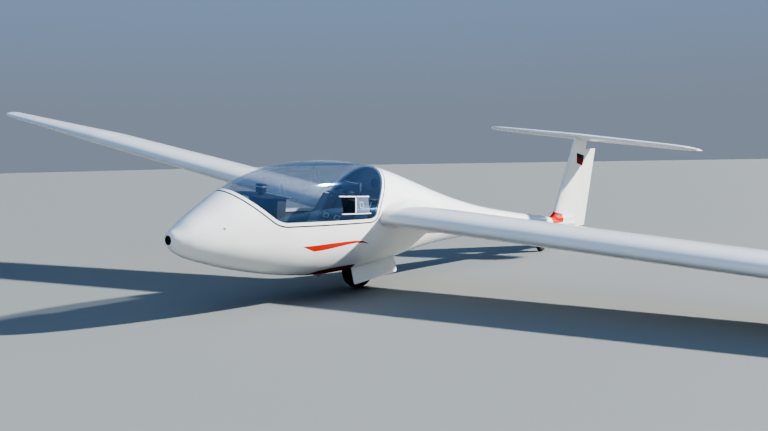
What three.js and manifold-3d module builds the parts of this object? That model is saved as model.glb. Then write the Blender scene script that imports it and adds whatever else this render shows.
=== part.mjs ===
// Single-seat sailplane of glass fibre, parked on its two wheels with the port wing tip down.
// Millimetres. In the level design frame x runs aft from the nose, y to starboard and z up
// from the ground under both wheels. The last section banks the glider into its parked stance.
import * as THREE from 'three';
import { mergeVertices } from 'three/addons/utils/BufferGeometryUtils.js';
import Module from 'manifold-3d';

const wasm = await Module();
wasm.setup();

// Driving dimensions
const seat = 0.3;              // gap between pieces that touch
const clearance = 5;           // gap round pieces that move
const degree = Math.PI / 180;

const boomEnd = 6020;          // aft face of the tail boom
const cabinStart = 110;        // forward end of the hollow hull
const cabinEnd = 2350;         // aft end of the hollow hull
const hullWall = 10;           // sandwich shell of the hull
const glassThickness = 4;
const frameDepth = 16;         // canopy frame, from the skin inwards
const frameWidth = 26;         // visible width of the canopy frame

const wingSplit = 400;         // wing root rib, from the centre line
const wingRootHeight = 682;    // leading edge at the wing root
const wingRootY = 340;
const dihedral = 3.25 * degree;
const wingTipY = 7500;
const wingSag = 90;            // the tips hang this far below the straight line from the root
const incidence = 3.3 * degree;
const camber = 0.035;
const aileronSpan = [4450, 7090];
const aileronHinge = 0.77;     // share of the chord
const brakeSpan = [2100, 3500];
const brakeChord = 0.48;
const brakeDepth = 112;
const wingWalls = [[380, 50], [2000, 30], [2900, 8], [3560, 7], [4450, 5], [7050, 4]];   // y, wall
const wingHollows = [          // shares of the chord: fore and aft of the airbrakes, and beyond them
  { shares: [0.05, 0.44], walls: wingWalls },
  { shares: [0.52, 0.7], walls: wingWalls },
  { shares: [0.4, 0.56], walls: wingWalls.slice(3) },
];

const tailHeight = 1373;       // chord plane of the tailplane at tailPivotX
const tailPivotX = 6145;
const tailIncidence = 4.5 * degree;
const elevatorHingeX = 6245;
const elevatorEnd = 1303;      // outboard end of the elevator
const rudderBottom = 246;
const rudderTop = 1238;
const finStart = 300;          // lowest section of the fin, inside the boom
const bracketHalf = 14;        // half width of the rudder's two hinge brackets
const bracketDepth = 24;

const wheelX = 2020;
const wheelRadius = 181;
const wheelWidth = 124;
const wellStart = 1735;
const wellEnd = 2335;
const wellHalf = 130;
const wellTop = 520;
const tailWheelX = 5310;
const tailWheelRadius = 100;
const tailWheelWidth = 54;

const canopyHinge = { y: 340, z: 655, stations: [1010, 1640] };

// Solids

// Closed surface through rings of equal point counts, with flat ends
function skin(rings) {
  const count = rings[0].length;
  const vertices = rings.flat();
  const faces = [];
  for (let i = 0; i + 1 < rings.length; i++) {
    for (let j = 0; j < count; j++) {
      const [a, b] = [i * count + j, i * count + ((j + 1) % count)];
      faces.push([a, b, b + count], [a, b + count, a + count]);
    }
  }
  for (const [start, last] of [[0, false], [(rings.length - 1) * count, true]]) {
    const ring = vertices.slice(start, start + count);
    const middle = vertices.push([0, 1, 2].map((k) => ring.reduce((s, p) => s + p[k], 0) / count)) - 1;
    for (let j = 0; j < count; j++) {
      const edge = [start + j, start + ((j + 1) % count)];
      faces.push(last ? [edge[0], edge[1], middle] : [edge[1], edge[0], middle]);
    }
  }
  return toSolid(vertices, faces);
}

function signedVolume(vertices, faces) {
  const [a, b, c] = [new THREE.Vector3(), new THREE.Vector3(), new THREE.Vector3()];
  return faces.reduce((sum, f) => {
    a.fromArray(vertices[f[0]]);
    b.fromArray(vertices[f[1]]);
    c.fromArray(vertices[f[2]]);
    return sum + a.dot(b.cross(c)) / 6;
  }, 0);
}

function toSolid(vertices, faces) {
  const outward = signedVolume(vertices, faces) > 0;
  const triVerts = Uint32Array.from(faces.flatMap((f) => (outward ? f : [f[0], f[2], f[1]])));
  const vertProperties = Float32Array.from(vertices.flat());
  return new wasm.Manifold(new wasm.Mesh({ numProp: 3, vertProperties, triVerts }));
}

// The closed surface of a geometry, its doubled points merged
function solidOf(geometry) {
  const plain = geometry.clone();
  plain.deleteAttribute('normal');
  plain.deleteAttribute('uv');
  const merged = mergeVertices(plain, 1e-3);
  const p = merged.attributes.position;
  const vertices = Array.from({ length: p.count }, (_, i) => [p.getX(i), p.getY(i), p.getZ(i)]);
  const index = Array.from(merged.index.array);
  const faces = [];
  for (let i = 0; i < index.length; i += 3) {
    const face = index.slice(i, i + 3);
    if (new Set(face).size === 3) faces.push(face);
  }
  return toSolid(vertices, faces);
}

function geometryOf(solid) {
  const mesh = solid.getMesh();
  const geometry = new THREE.BufferGeometry();
  geometry.setAttribute('position', new THREE.BufferAttribute(mesh.vertProperties, 3));
  geometry.setIndex(new THREE.BufferAttribute(mesh.triVerts, 1));
  return geometry;
}

const moved = (solid, matrix) => solid.transform(matrix.elements);

function block(x0, x1, y0, y1, z0, z1) {
  const geometry = new THREE.BoxGeometry(x1 - x0, y1 - y0, z1 - z0);
  geometry.translate((x0 + x1) / 2, (y0 + y1) / 2, (z0 + z1) / 2);
  return solidOf(geometry);
}

// Round bar or cone between two points
function rod(from, to, radius, endRadius = radius, sides = 20) {
  const [a, b] = [new THREE.Vector3(...from), new THREE.Vector3(...to)];
  const axis = b.clone().sub(a);
  const geometry = new THREE.CylinderGeometry(endRadius, radius, axis.length(), sides);
  geometry.applyQuaternion(
    new THREE.Quaternion().setFromUnitVectors(new THREE.Vector3(0, 1, 0), axis.clone().normalize()));
  geometry.translate(...a.add(b).multiplyScalar(0.5).toArray());
  return solidOf(geometry);
}

// Ring turned about a line parallel to y; profile rows are [radius, y]
function turnedAcross(profile, x, z, segments = 28) {
  const points = [...profile, profile[0]].map(([r, y]) => new THREE.Vector2(r, y));
  const geometry = new THREE.LatheGeometry(points, segments);
  geometry.rotateY(Math.PI / segments);   // a flat, not an edge, at the lowest place
  geometry.translate(x, 0, z);
  return solidOf(geometry);
}

// Prism across the hull from a side-view outline of [x, z] rows
function prismAcross(outline, y0, y1) {
  const shape = new THREE.Shape(outline.map(([x, z]) => new THREE.Vector2(x, z)));
  const geometry = new THREE.ExtrudeGeometry(shape, { depth: y1 - y0, bevelEnabled: false });
  geometry.rotateX(Math.PI / 2);
  geometry.translate(0, y1, 0);
  return solidOf(geometry);
}

// Plate of a given thickness that follows a side-view line
function sheetAcross(line, thickness, halfWidth) {
  const below = line.map(([x, z], i) => {
    const [p, q] = [line[Math.max(i - 1, 0)], line[Math.min(i + 1, line.length - 1)]];
    const [dx, dz] = [q[0] - p[0], q[1] - p[1]];
    const scale = thickness / Math.hypot(dx, dz);
    return [x + dz * scale, z - dx * scale];
  });
  return prismAcross([...line, ...below.reverse()], -halfWidth, halfWidth);
}

const joined = (solids) => solids.reduce((all, next) => all.add(next));

// Hull form

const hullColumns = ['x', 'top', 'bottom', 'half', 'widest', 'power'];
const hullStations = [
  [0, 648, 570, 40, 609, 2],
  [15, 664, 546, 64, 608, 2],
  [55, 690, 512, 98, 606, 2],
  [130, 746, 471, 141, 602, 2.05],
  [250, 823, 427, 188, 600, 2.05],
  [440, 936, 368, 240, 600, 2.1],
  [650, 1028, 315, 277, 605, 2.15],
  [850, 1089, 273, 301, 610, 2.25],
  [1050, 1124, 239, 315, 615, 2.3],
  [1300, 1142, 211, 325, 620, 2.3],
  [1600, 1144, 202, 327, 628, 2.3],
  [1900, 1119, 208, 316, 634, 2.25],
  [2150, 1078, 221, 293, 638, 2.2],
  [2400, 1015, 246, 262, 632, 2.15],
  [2700, 928, 286, 225, 610, 2.1],
  [3000, 840, 313, 192, 580, 2.05],
  [3400, 734, 330, 160, 534, 2],
  [3900, 628, 335, 132, 482, 2],
  [4500, 534, 326, 112, 430, 2],
  [5100, 454, 300, 97, 377, 2],
  [5600, 393, 276, 82, 335, 2],
  [boomEnd, 352, 248, 60, 300, 2],
];

// Smooth value of one column at x, as a cubic through the stations
function hullValue(x, column) {
  const k = hullColumns.indexOf(column);
  const rows = hullStations;
  let i = rows.findIndex((row) => row[0] >= x) - 1;
  i = Math.min(Math.max(i, 0), rows.length - 2);
  const slope = (j) => {
    const [a, b] = [rows[Math.max(j - 1, 0)], rows[Math.min(j + 1, rows.length - 1)]];
    return (b[k] - a[k]) / (b[0] - a[0]);
  };
  const [p, q] = [rows[i], rows[i + 1]];
  const length = q[0] - p[0];
  const t = (x - p[0]) / length;
  return (2 * t ** 3 - 3 * t ** 2 + 1) * p[k] + (t ** 3 - 2 * t ** 2 + t) * length * slope(i)
    + (3 * t ** 2 - 2 * t ** 3) * q[k] + (t ** 3 - t ** 2) * length * slope(i + 1);
}

function hullRing(x, inset, around) {
  const [top, bottom, half, widest, power] = hullColumns.slice(1).map((c) => hullValue(x, c));
  return Array.from({ length: around }, (_, i) => {
    const angle = (2 * Math.PI * (i + 0.5)) / around;
    const [c, s] = [Math.cos(angle), Math.sin(angle)];
    const reach = (s > 0 ? top - widest : widest - bottom) - inset;
    const y = Math.sign(c) * (half - inset) * Math.abs(c) ** (2 / power);
    return [x, y, widest + Math.sign(s) * reach * Math.abs(s) ** (2 / power)];
  });
}

// The hull form between two stations, its surface moved inwards by inset
function hullForm(x0, x1, inset, sections, around, crowding = 1.5) {
  const rings = Array.from({ length: sections + 1 }, (_, i) =>
    hullRing(x0 + (x1 - x0) * (i / sections) ** crowding, inset, around));
  return skin(rings);
}

const hullAround = 32;
const hullSections = 30;
const hullOuter = hullForm(0, boomEnd, 0, hullSections, hullAround);
const hullSeat = hullForm(0, boomEnd, -seat, hullSections, hullAround);
const cabinSpace = hullForm(cabinStart, cabinEnd, hullWall, 14, hullAround);
const cabinFit = hullForm(cabinStart, cabinEnd, hullWall + seat, 14, hullAround);

// Wings and tail surfaces

// Half thickness and camber of the section at a share of the chord
const halfThickness = (s, t) => 5 * t
  * (0.2969 * Math.sqrt(s) - 0.126 * s - 0.3516 * s ** 2 + 0.2843 * s ** 3 - 0.1036 * s ** 4);
const camberLine = (s, m) => (s < 0.4 ? (m / 0.16) * (0.8 * s - s * s)
  : (m / 0.36) * (0.2 + 0.8 * s - s * s));
const trailingEdge = 1.5;      // half thickness left at the trailing edge

// Section outline as [along chord, normal to chord] rows, trailing edge first over the top
function sectionOutline(chord, thickness, bow, grow = 0, points = 13) {
  const shares = Array.from({ length: points }, (_, i) => (1 - Math.cos((Math.PI * i) / (points - 1))) / 2);
  const half = (s) => chord * halfThickness(s, thickness) + trailingEdge * s + grow;
  const row = (s, side) => {
    const along = chord * s + grow * (2 * s - 1);
    return [along, chord * camberLine(s, bow) + side * (s > 0 ? half(s) : 0)];
  };
  const upper = shares.map((s) => row(s, 1)).reverse();
  const lower = shares.slice(1).map((s) => row(s, -1));
  return [...upper, ...lower];
}

const wingColumns = ['y', 'x', 'chord', 'thickness', 'z'];
const wingStations = [
  [150, 1925, 985, 0.2],
  [290, 1910, 982, 0.195],
  [wingSplit, 1895, 986, 0.19],
  [4450, 1945, 880, 0.17],
  [7100, 2152, 493, 0.14],
  [7250, 2240, 382, 0.135],
  [7380, 2355, 240, 0.13],
  [7460, 2452, 118, 0.13],
  [7496, 2505, 50, 0.13],
].map(([y, ...rest]) => {
  const straight = wingRootHeight + (y - wingRootY) * Math.tan(dihedral);
  return [y, ...rest, straight - wingSag * (y / wingTipY) ** 3];
});

function between(rows, columns, at, column) {
  const k = columns.indexOf(column);
  let i = rows.findIndex((row) => row[0] >= at) - 1;
  i = Math.min(Math.max(i, 0), rows.length - 2);
  const t = (at - rows[i][0]) / (rows[i + 1][0] - rows[i][0]);
  return rows[i][k] + t * (rows[i + 1][k] - rows[i][k]);
}
const wingValue = (y, column) => between(wingStations, wingColumns, y, column);
const wingZ = (y) => wingValue(y, 'z');

// Point of the wing at a distance along and normal to the chord, on either side
function wingPoint(y, along, normal, side) {
  const [c, s] = [Math.cos(incidence), Math.sin(incidence)];
  return [wingValue(y, 'x') + along * c + normal * s, side * y, wingZ(y) - along * s + normal * c];
}

function wingRing(y, side, grow = 0) {
  return sectionOutline(wingValue(y, 'chord'), wingValue(y, 'thickness'), camber, grow)
    .map(([along, normal]) => wingPoint(y, along, normal, side));
}

// Ring of the hollow between two shares of the chord, inside a wall
function hollowRing([y, wall], side, [from, to], points = 6) {
  const [chord, thickness] = [wingValue(y, 'chord'), wingValue(y, 'thickness')];
  const row = (i, up) => {
    const s = from + ((to - from) * i) / (points - 1);
    return wingPoint(y, chord * s,
      chord * camberLine(s, camber) + up * (chord * halfThickness(s, thickness) - wall), side);
  };
  const steps = Array.from({ length: points }, (_, i) => i);
  return [...steps.map((i) => row(i, 1)), ...steps.reverse().map((i) => row(i, -1))];
}

const tailColumns = ['y', 'x', 'chord', 'thickness'];
const tailStations = [
  [0, 5845, 600, 0.13],
  [1128, 5950, 455, 0.13],
  [1315, 6005, 372, 0.125],
  [1398, 6130, 205, 0.12],
];
const tailValue = (y, column) => between(tailStations, tailColumns, Math.abs(y), column);
const tailRows = [...tailStations.slice(1).map(([y]) => -y).reverse(), ...tailStations.map(([y]) => y)];
const tailKink = tailStations[1][0];

// The tailplane is drawn flat, then turned nose up about its pivot
const tailTilt = new THREE.Matrix4().makeTranslation(tailPivotX, 0, tailHeight)
  .multiply(new THREE.Matrix4().makeRotationY(tailIncidence))
  .multiply(new THREE.Matrix4().makeTranslation(-tailPivotX, 0, -tailHeight));

function tailRing(y, grow = 0) {
  return sectionOutline(tailValue(y, 'chord'), tailValue(y, 'thickness'), 0, grow)
    .map(([along, normal]) => [tailValue(y, 'x') + along, y, tailHeight + normal]);
}

const finThickness = 0.11;
const finEdge = (z) => 5535 + (z - 458) * 0.357;
const finTrail = (z) => 6383 + (z - 239) * 0.066;
const rudderHinge = (z) => 6030 + (z - 250) * 0.085;

function finRing(z) {
  return sectionOutline(finTrail(z) - finEdge(z), finThickness, 0)
    .map(([along, normal]) => [finEdge(z) + along, normal, z]);
}

// A hinged surface in its own section plane: round nose about the hinge, flat sides to the tail.
// Rows are [aft of the hinge, across]; tail is the trailing edge's place.
function flapOutline(radius, tail, arcPoints = 9) {
  const nose = Array.from({ length: arcPoints }, (_, i) => {
    const angle = Math.PI / 2 + (Math.PI * i) / (arcPoints - 1);
    return [radius * Math.cos(angle), radius * Math.sin(angle)];
  });
  return [[tail[0], tail[1] + trailingEdge], ...nose, [tail[0], tail[1] - trailingEdge]];
}

// The room cut for it: a cove about the hinge, open aft
function coveOutline(radius, tail, arcPoints = 9) {
  const open = radius + clearance;
  const nose = Array.from({ length: arcPoints }, (_, i) => {
    const angle = Math.PI / 2 + (Math.PI * i) / (arcPoints - 1);
    return [open * Math.cos(angle), open * Math.sin(angle)];
  });
  return [[tail[0] + 60, 2 * open], [0, 2 * open], ...nose, [0, -2 * open], [tail[0] + 60, -2 * open]];
}

const pinRadius = 5;
const pinReach = 30;

// Pins at both ends of a hinged surface, and the bores that take them
function endPins(start, end, radius, outside, inside) {
  const [a, b] = [new THREE.Vector3(...start), new THREE.Vector3(...end)];
  const along = b.clone().sub(a).normalize();
  const at = (from, distance) => from.clone().addScaledVector(along, distance).toArray();
  return joined([rod(at(a, -outside), at(a, inside), radius), rod(at(b, -inside), at(b, outside), radius)]);
}

// Materials

const finish = (color, roughness, metalness = 0) => () =>
  new THREE.MeshStandardMaterial({ color, roughness, metalness });
const gelcoat = finish(0xf2f1ea, 0.18);
const acrylic = () => new THREE.MeshStandardMaterial({
  color: 0xb9cde0, roughness: 0.04, transparent: true, opacity: 0.35,
});
const tyreRubber = finish(0x1c1c1d, 0.85);
const blackPlastic = finish(0x161618, 0.5);
const greyPlastic = finish(0x8f9498, 0.6);
const aluminium = finish(0xb8bcc0, 0.35, 0.9);
const paintedSteel = finish(0xd9d9d4, 0.45, 0.3);
const upholstery = finish(0x3d4652, 0.95);

const level = new THREE.Group();
const glider = new THREE.Group();
glider.add(level);

function piece(name, solid, material) {
  const mesh = new THREE.Mesh(geometryOf(solid), material());
  mesh.name = name;
  level.add(mesh);
  return mesh;
}

// Canopy outline in side view, closed far above the hull

function curve(from, control, to, steps) {
  const points = new THREE.QuadraticBezierCurve(...[from, control, to].map((p) => new THREE.Vector2(...p)));
  return points.getPoints(steps).map((p) => [p.x, p.y]);
}
const sillFront = [850, 691];
const sillRear = [1752, 666];
const sillAt = (x) => sillFront[1]
  + ((x - sillFront[0]) * (sillRear[1] - sillFront[1])) / (sillRear[0] - sillFront[0]);
const canopyLine = [
  [400, 977],
  ...curve([712, 742], [768, 698], sillFront, 5),
  ...curve(sillRear, [1842, 664], [1867, 722], 5),
  ...curve([1884, 772], [1922, 852], [2093, 1086], 5),
  [2120, 1132],
];

// The outline moved inwards, keeping its corners
function insetLine(line, distance) {
  return line.map(([x, z], i) => {
    const [p, q] = [line[Math.max(i - 1, 0)], line[Math.min(i + 1, line.length - 1)]];
    const [dx, dz] = [q[0] - p[0], q[1] - p[1]];
    const scale = distance / Math.hypot(dx, dz);
    return [x - dz * scale, z + dx * scale];
  });
}
const canopyPrism = (distance) => {
  const line = insetLine(canopyLine, distance);
  return prismAcross([...line, [line.at(-1)[0], 1400], [line[0][0], 1400]], -500, 500);
};

// Hull, fin and wing root fairings as one form, then split on the centre line

const tailplaneFull = moved(skin(tailRows.map((y) => tailRing(y))), tailTilt);
const tailplaneSeat = moved(skin(tailRows.map((y) => tailRing(y, seat))), tailTilt);

const rudderRows = [rudderBottom, rudderTop];
const finHalf = (z) => {
  const chord = finTrail(z) - finEdge(z);
  return chord * halfThickness((rudderHinge(z) - finEdge(z)) / chord, finThickness);
};
const rudderSection = (z, outline) => outline(finHalf(z), [finTrail(z) - rudderHinge(z), 0])
  .map(([aft, across]) => [rudderHinge(z) + aft, across, z]);

function hullWithFin() {
  const fin = skin([finStart, tailHeight + 60].map(finRing));
  const cove = skin([rudderBottom - 40, rudderTop + clearance].map((z) => rudderSection(z, coveOutline)));
  const [lowHinge, highHinge] = [rudderHinge(rudderBottom), rudderHinge(rudderTop)];
  const aboveRudder = block(highHinge + 12, 6600, -100, 100, rudderTop, tailHeight + 100);
  const aboveTail = moved(block(5600, 6700, -100, 100, tailHeight, tailHeight + 300), tailTilt);
  const fairings = [-1, 1].map((side) =>
    skin([150, 290, wingSplit].map((y) => wingRing(y, side))));
  const pins = endPins([lowHinge, 0, rudderBottom], [highHinge, 0, rudderTop], pinRadius, 0, pinReach);
  const bracket = (x0, x1, z0, z1) => block(x0, x1, -bracketHalf, bracketHalf, z0, z1);
  const footStart = boomEnd - 110;
  const foot = joined([
    bracket(footStart, lowHinge + bracketHalf, rudderBottom - bracketDepth, rudderBottom - clearance),
    bracket(footStart, footStart + 60, rudderBottom - bracketDepth, finStart),
  ]);
  const head = bracket(highHinge - 54, highHinge + bracketHalf, rudderTop + clearance,
    rudderTop + bracketDepth + 16);
  const heel = rod([lowHinge, 0, rudderBottom - 20], [lowHinge, 0, rudderBottom + 1], pinRadius);
  const crown = rod([highHinge, 0, rudderTop - 1], [highHinge, 0, rudderTop + 30], pinRadius);
  const outside = joined([hullOuter, ...fairings, fin.subtract(aboveTail)]).subtract(cove)
    .subtract(aboveRudder)
    .subtract(tailplaneSeat);
  return joined([outside, foot, head.subtract(tailplaneSeat), heel, crown, pins]);
}

const hingeBarHalf = 34;
const knuckleHalf = 12;
const lugRadius = 8;
const lugReach = 40;           // from the hinge line into the hull
// Hinge lugs and pins under the starboard sill, and the canopy's knuckles between them
function canopyLugs(x) {
  const { y, z } = canopyHinge;
  const ends = [-1, 1].map((side) => {
    const [inner, outer] = [knuckleHalf + clearance, hingeBarHalf].map((d) => x + side * d);
    const plate = block(Math.min(inner, outer), Math.max(inner, outer), y - lugReach, y, z - lugRadius, z);
    return rod([inner, y, z], [outer, y, z], lugRadius).add(plate);
  });
  return joined([...ends, rod([x - hingeBarHalf, y, z], [x + hingeBarHalf, y, z], pinRadius)]);
}

function canopyKnuckle(x) {
  const { y, z } = canopyHinge;
  const arm = block(x - knuckleHalf, x + knuckleHalf, y - 6, y + 6, z, sillAt(x) + 20);
  const foot = block(x - knuckleHalf, x + knuckleHalf, y - lugReach, y + 6, sillAt(x) + 6, sillAt(x) + 20);
  return rod([x - knuckleHalf, y, z], [x + knuckleHalf, y, z], lugRadius).add(arm).add(foot)
    .subtract(rod([x - 20, y, z], [x + 20, y, z], pinRadius + seat));
}

const ventRadius = 34;
const [noseZ, ventDepth] = [609, 60];
const noseBore = rod([-20, 0, noseZ], [ventDepth, 0, noseZ], ventRadius, ventRadius, 28);
const wellCut = block(wellStart, wellEnd, -wellHalf, wellHalf, 100, 430);
const hullWhole = hullWithFin()
  .subtract(cabinSpace)
  .subtract(canopyPrism(-seat))
  .subtract(noseBore)
  .subtract(wellCut);
const keelGap = seat / 2;
const wholeSide = {
  port: block(-50, 7000, -1000, -keelGap, 0, 2000),
  starboard: block(-50, 7000, keelGap, 1000, 0, 2000),
};
const hingeLugs = joined(canopyHinge.stations.map(canopyLugs)).subtract(cabinSpace);
piece('fuselage_port', hullWhole.intersect(wholeSide.port), gelcoat);
piece('fuselage_starboard', hullWhole.intersect(wholeSide.starboard).add(hingeLugs), gelcoat);

// Canopy frame, glazing and the sliding vent window on its rails

const [canopyStart, canopyEnd, canopySections] = [300, 2300, 26];
const canopyShell = (outer, inner) => hullForm(canopyStart, canopyEnd, outer, canopySections, hullAround, 1)
  .subtract(hullForm(canopyStart - 10, canopyEnd + 10, inner, canopySections, hullAround, 1));
const canopyFrame = canopyShell(0, frameDepth).intersect(canopyPrism(0)).subtract(canopyPrism(frameWidth));
const knuckles = joined(canopyHinge.stations.map(canopyKnuckle))
  .subtract(hullForm(canopyStart, canopyEnd, frameDepth, 18, hullAround, 1));
piece('canopy_frame', canopyFrame.add(knuckles), gelcoat);

// Rows are the corners [x, z] of the window's opening, seen from port
const ventRails = { upper: [[1392, 893], [1752, 876]], lower: [[1412, 752], [1766, 738]] };
const ventSplit = 0.5;
const railWidth = 9;
const along = (line, share) => line[0].map((v, k) => v + share * (line[1][k] - v));
function ventQuad(from, to, margin) {
  const [u, l] = [ventRails.upper, ventRails.lower];
  return prismAcross([
    [along(l, from)[0], along(l, from)[1] + margin], [along(l, to)[0], along(l, to)[1] + margin],
    [along(u, to)[0], along(u, to)[1] - margin], [along(u, from)[0], along(u, from)[1] - margin],
  ], -500, 0);
}
piece('canopy_glass', canopyShell(0, glassThickness).intersect(canopyPrism(frameWidth + seat))
  .subtract(ventQuad(0.04, ventSplit, railWidth)), acrylic);
for (const [name, line] of Object.entries(ventRails)) {
  const strip = prismAcross([
    [line[0][0], line[0][1] - railWidth / 2], [line[1][0], line[1][1] - railWidth / 2],
    [line[1][0], line[1][1] + railWidth / 2], [line[0][0], line[0][1] + railWidth / 2],
  ], -500, 0);
  piece(`vent_rail_${name}`,
    canopyShell(glassThickness + seat, glassThickness + 8).intersect(strip), paintedSteel);
}
piece('vent_window', canopyShell(glassThickness + 1, glassThickness + 4)
  .intersect(ventQuad(ventSplit - 0.06, 0.97, railWidth / 2 + seat)), acrylic);

// Wings, ailerons, airbrakes and tip skids

const skidBar = { y: 7300, from: 0.22, to: 0.78, drop: 26, half: 14 };

function wingSet(side, name) {
  const spans = wingStations.map((row) => row[0]).filter((y) => y > wingSplit);
  const whole = skin([wingSplit + seat, ...spans].map((y) => wingRing(y, side)));
  const hollows = joined(wingHollows.map(({ shares, walls }) =>
    skin(walls.map((row) => hollowRing(row, side, shares)))));
  const hingeOf = (y) => {
    const chord = wingValue(y, 'chord');
    return [chord * aileronHinge, chord * camberLine(aileronHinge, camber)];
  };
  const radiusAt = (y) => wingValue(y, 'chord') * halfThickness(aileronHinge, wingValue(y, 'thickness'));
  const flapRing = (y, outline) => {
    const [along0, normal0] = hingeOf(y);
    return outline(radiusAt(y), [wingValue(y, 'chord') - along0, -normal0])
      .map(([aft, across]) => wingPoint(y, along0 + aft, normal0 + across, side));
  };
  const [start, end] = aileronSpan;
  const hinge = [start, end].map((y) => wingPoint(y, ...hingeOf(y), side));
  const bay = skin([start - clearance, end + clearance].map((y) => flapRing(y, coveOutline)));
  const aileron = skin([start, end].map((y) => flapRing(y, flapOutline)));

  const middle = (brakeSpan[0] + brakeSpan[1]) / 2;
  const upperAt = (y) => {
    const chord = wingValue(y, 'chord');
    return chord * (camberLine(brakeChord, camber) + halfThickness(brakeChord, wingValue(y, 'thickness')));
  };
  const frame = new THREE.Matrix4().makeTranslation(
    ...wingPoint(middle, wingValue(middle, 'chord') * brakeChord, upperAt(middle), side));
  const slope = Math.atan2(wingZ(brakeSpan[1]) - wingZ(brakeSpan[0]), brakeSpan[1] - brakeSpan[0]);
  frame.multiply(new THREE.Matrix4().makeRotationX(side * slope));
  frame.multiply(new THREE.Matrix4().makeRotationY(incidence));
  const reach = (brakeSpan[1] - brakeSpan[0]) / 2;
  const blade = moved(joined([
    block(-6, 6, -reach, reach, -brakeDepth, -2),
    block(-22, 22, -reach, reach, -14, 20),
  ]), frame);
  const slot = moved(joined([
    block(-6 - clearance, 6 + clearance, -reach - clearance, reach + clearance, -brakeDepth - seat, 0),
    block(-22 - clearance, 22 + clearance, -reach - clearance, reach + clearance, -14 - clearance, 60),
  ]), frame);

  const hingePins = endPins(hinge[0], hinge[1], pinRadius, clearance + 20, pinReach);
  const hingeBores = endPins(hinge[0], hinge[1], pinRadius + seat, clearance, pinReach + clearance);
  piece(`wing_${name}`, whole.subtract(hollows).subtract(bay).subtract(slot).add(hingePins), gelcoat);
  piece(`aileron_${name}`, aileron.subtract(hingeBores), gelcoat);
  piece(`airbrake_${name}`, whole.intersect(blade), aluminium);

  const chord = wingValue(skidBar.y, 'chord');
  const under = chord * (halfThickness(0.4, 0.13) - camberLine(0.4, camber));
  const skid = rod(wingPoint(skidBar.y, chord * skidBar.from, -under - skidBar.drop + skidBar.half, side),
    wingPoint(skidBar.y, chord * skidBar.to, -under - skidBar.drop + skidBar.half, side), skidBar.half)
    .add(skin([skidBar.y - 9, skidBar.y + 9].map((y) => [[skidBar.from, 0], [skidBar.to, 0],
      [skidBar.to, -under - 12], [skidBar.from, -under - 12]].map(([share, normal]) =>
      wingPoint(y, chord * share, normal, side)))));
  const grown = skin([6900, ...spans.slice(1)].map((y) => wingRing(y, side, seat)));
  return { skid: piece(`tip_skid_${name}`, skid.subtract(grown), blackPlastic) };
}

const portTip = wingSet(-1, 'port').skid;
wingSet(1, 'starboard');

// Tailplane and elevator

function elevatorSection(y, outline) {
  const chord = tailValue(y, 'chord');
  const hingeShare = (elevatorHingeX - tailValue(y, 'x')) / chord;
  const radius = chord * halfThickness(hingeShare, tailValue(y, 'thickness'));
  return outline(radius, [tailValue(y, 'x') + chord - elevatorHingeX, 0])
    .map(([aft, across]) => [elevatorHingeX + aft, y, tailHeight + across]);
}
const elevatorRows = [-elevatorEnd, -tailKink, 0, tailKink, elevatorEnd];
const elevatorPins = endPins([elevatorHingeX, -elevatorEnd, tailHeight],
  [elevatorHingeX, elevatorEnd, tailHeight], pinRadius, clearance + 15, pinReach);
const elevatorBores = endPins([elevatorHingeX, -elevatorEnd, tailHeight],
  [elevatorHingeX, elevatorEnd, tailHeight], pinRadius + seat, clearance, pinReach + clearance);
const elevatorBay = skin([-elevatorEnd - clearance, ...elevatorRows.slice(1, -1), elevatorEnd + clearance]
  .map((y) => elevatorSection(y, coveOutline)));
const elevatorFlap = skin(elevatorRows.map((y) => elevatorSection(y, flapOutline)));
piece('tailplane', tailplaneFull.subtract(moved(elevatorBay, tailTilt))
  .add(moved(elevatorPins, tailTilt)), gelcoat);
piece('elevator', moved(elevatorFlap.subtract(elevatorBores), tailTilt), gelcoat);

// Rudder

const rudderBores = endPins([rudderHinge(rudderBottom), 0, rudderBottom],
  [rudderHinge(rudderTop), 0, rudderTop], pinRadius + seat, clearance, pinReach + clearance);
piece('rudder', skin(rudderRows.map((z) => rudderSection(z, flapOutline))).subtract(rudderBores), gelcoat);

// Main wheel in its box, with the fork and the two doors

const wheelZ = wheelRadius;
const [bead, rimHalf, axleRadius] = [70, 52, 12];
const tyreHalf = wheelWidth / 2;
const crownHalf = 3;           // half width of the flat on a tyre's crown
const mainTyre = turnedAcross([
  [bead, -rimHalf], [105, -tyreHalf + 3], [135, -tyreHalf], [160, -tyreHalf + 10],
  [175, -tyreHalf + 28], [wheelRadius, -crownHalf], [wheelRadius, crownHalf], [175, tyreHalf - 28],
  [160, tyreHalf - 10], [135, tyreHalf], [105, tyreHalf - 3], [bead, rimHalf],
], wheelX, wheelZ);
piece('main_tyre', mainTyre, tyreRubber);
piece('main_rim', turnedAcross([
  [axleRadius + seat, -60], [24, -60], [24, -20], [54, -12], [60, -rimHalf], [bead - seat, -rimHalf],
  [bead - seat, rimHalf], [60, rimHalf], [54, 12], [24, 20], [24, 60], [axleRadius + seat, 60],
], wheelX, wheelZ), aluminium);
piece('main_axle', rod([wheelX, -88, wheelZ], [wheelX, 88, wheelZ], axleRadius), aluminium);

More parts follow.
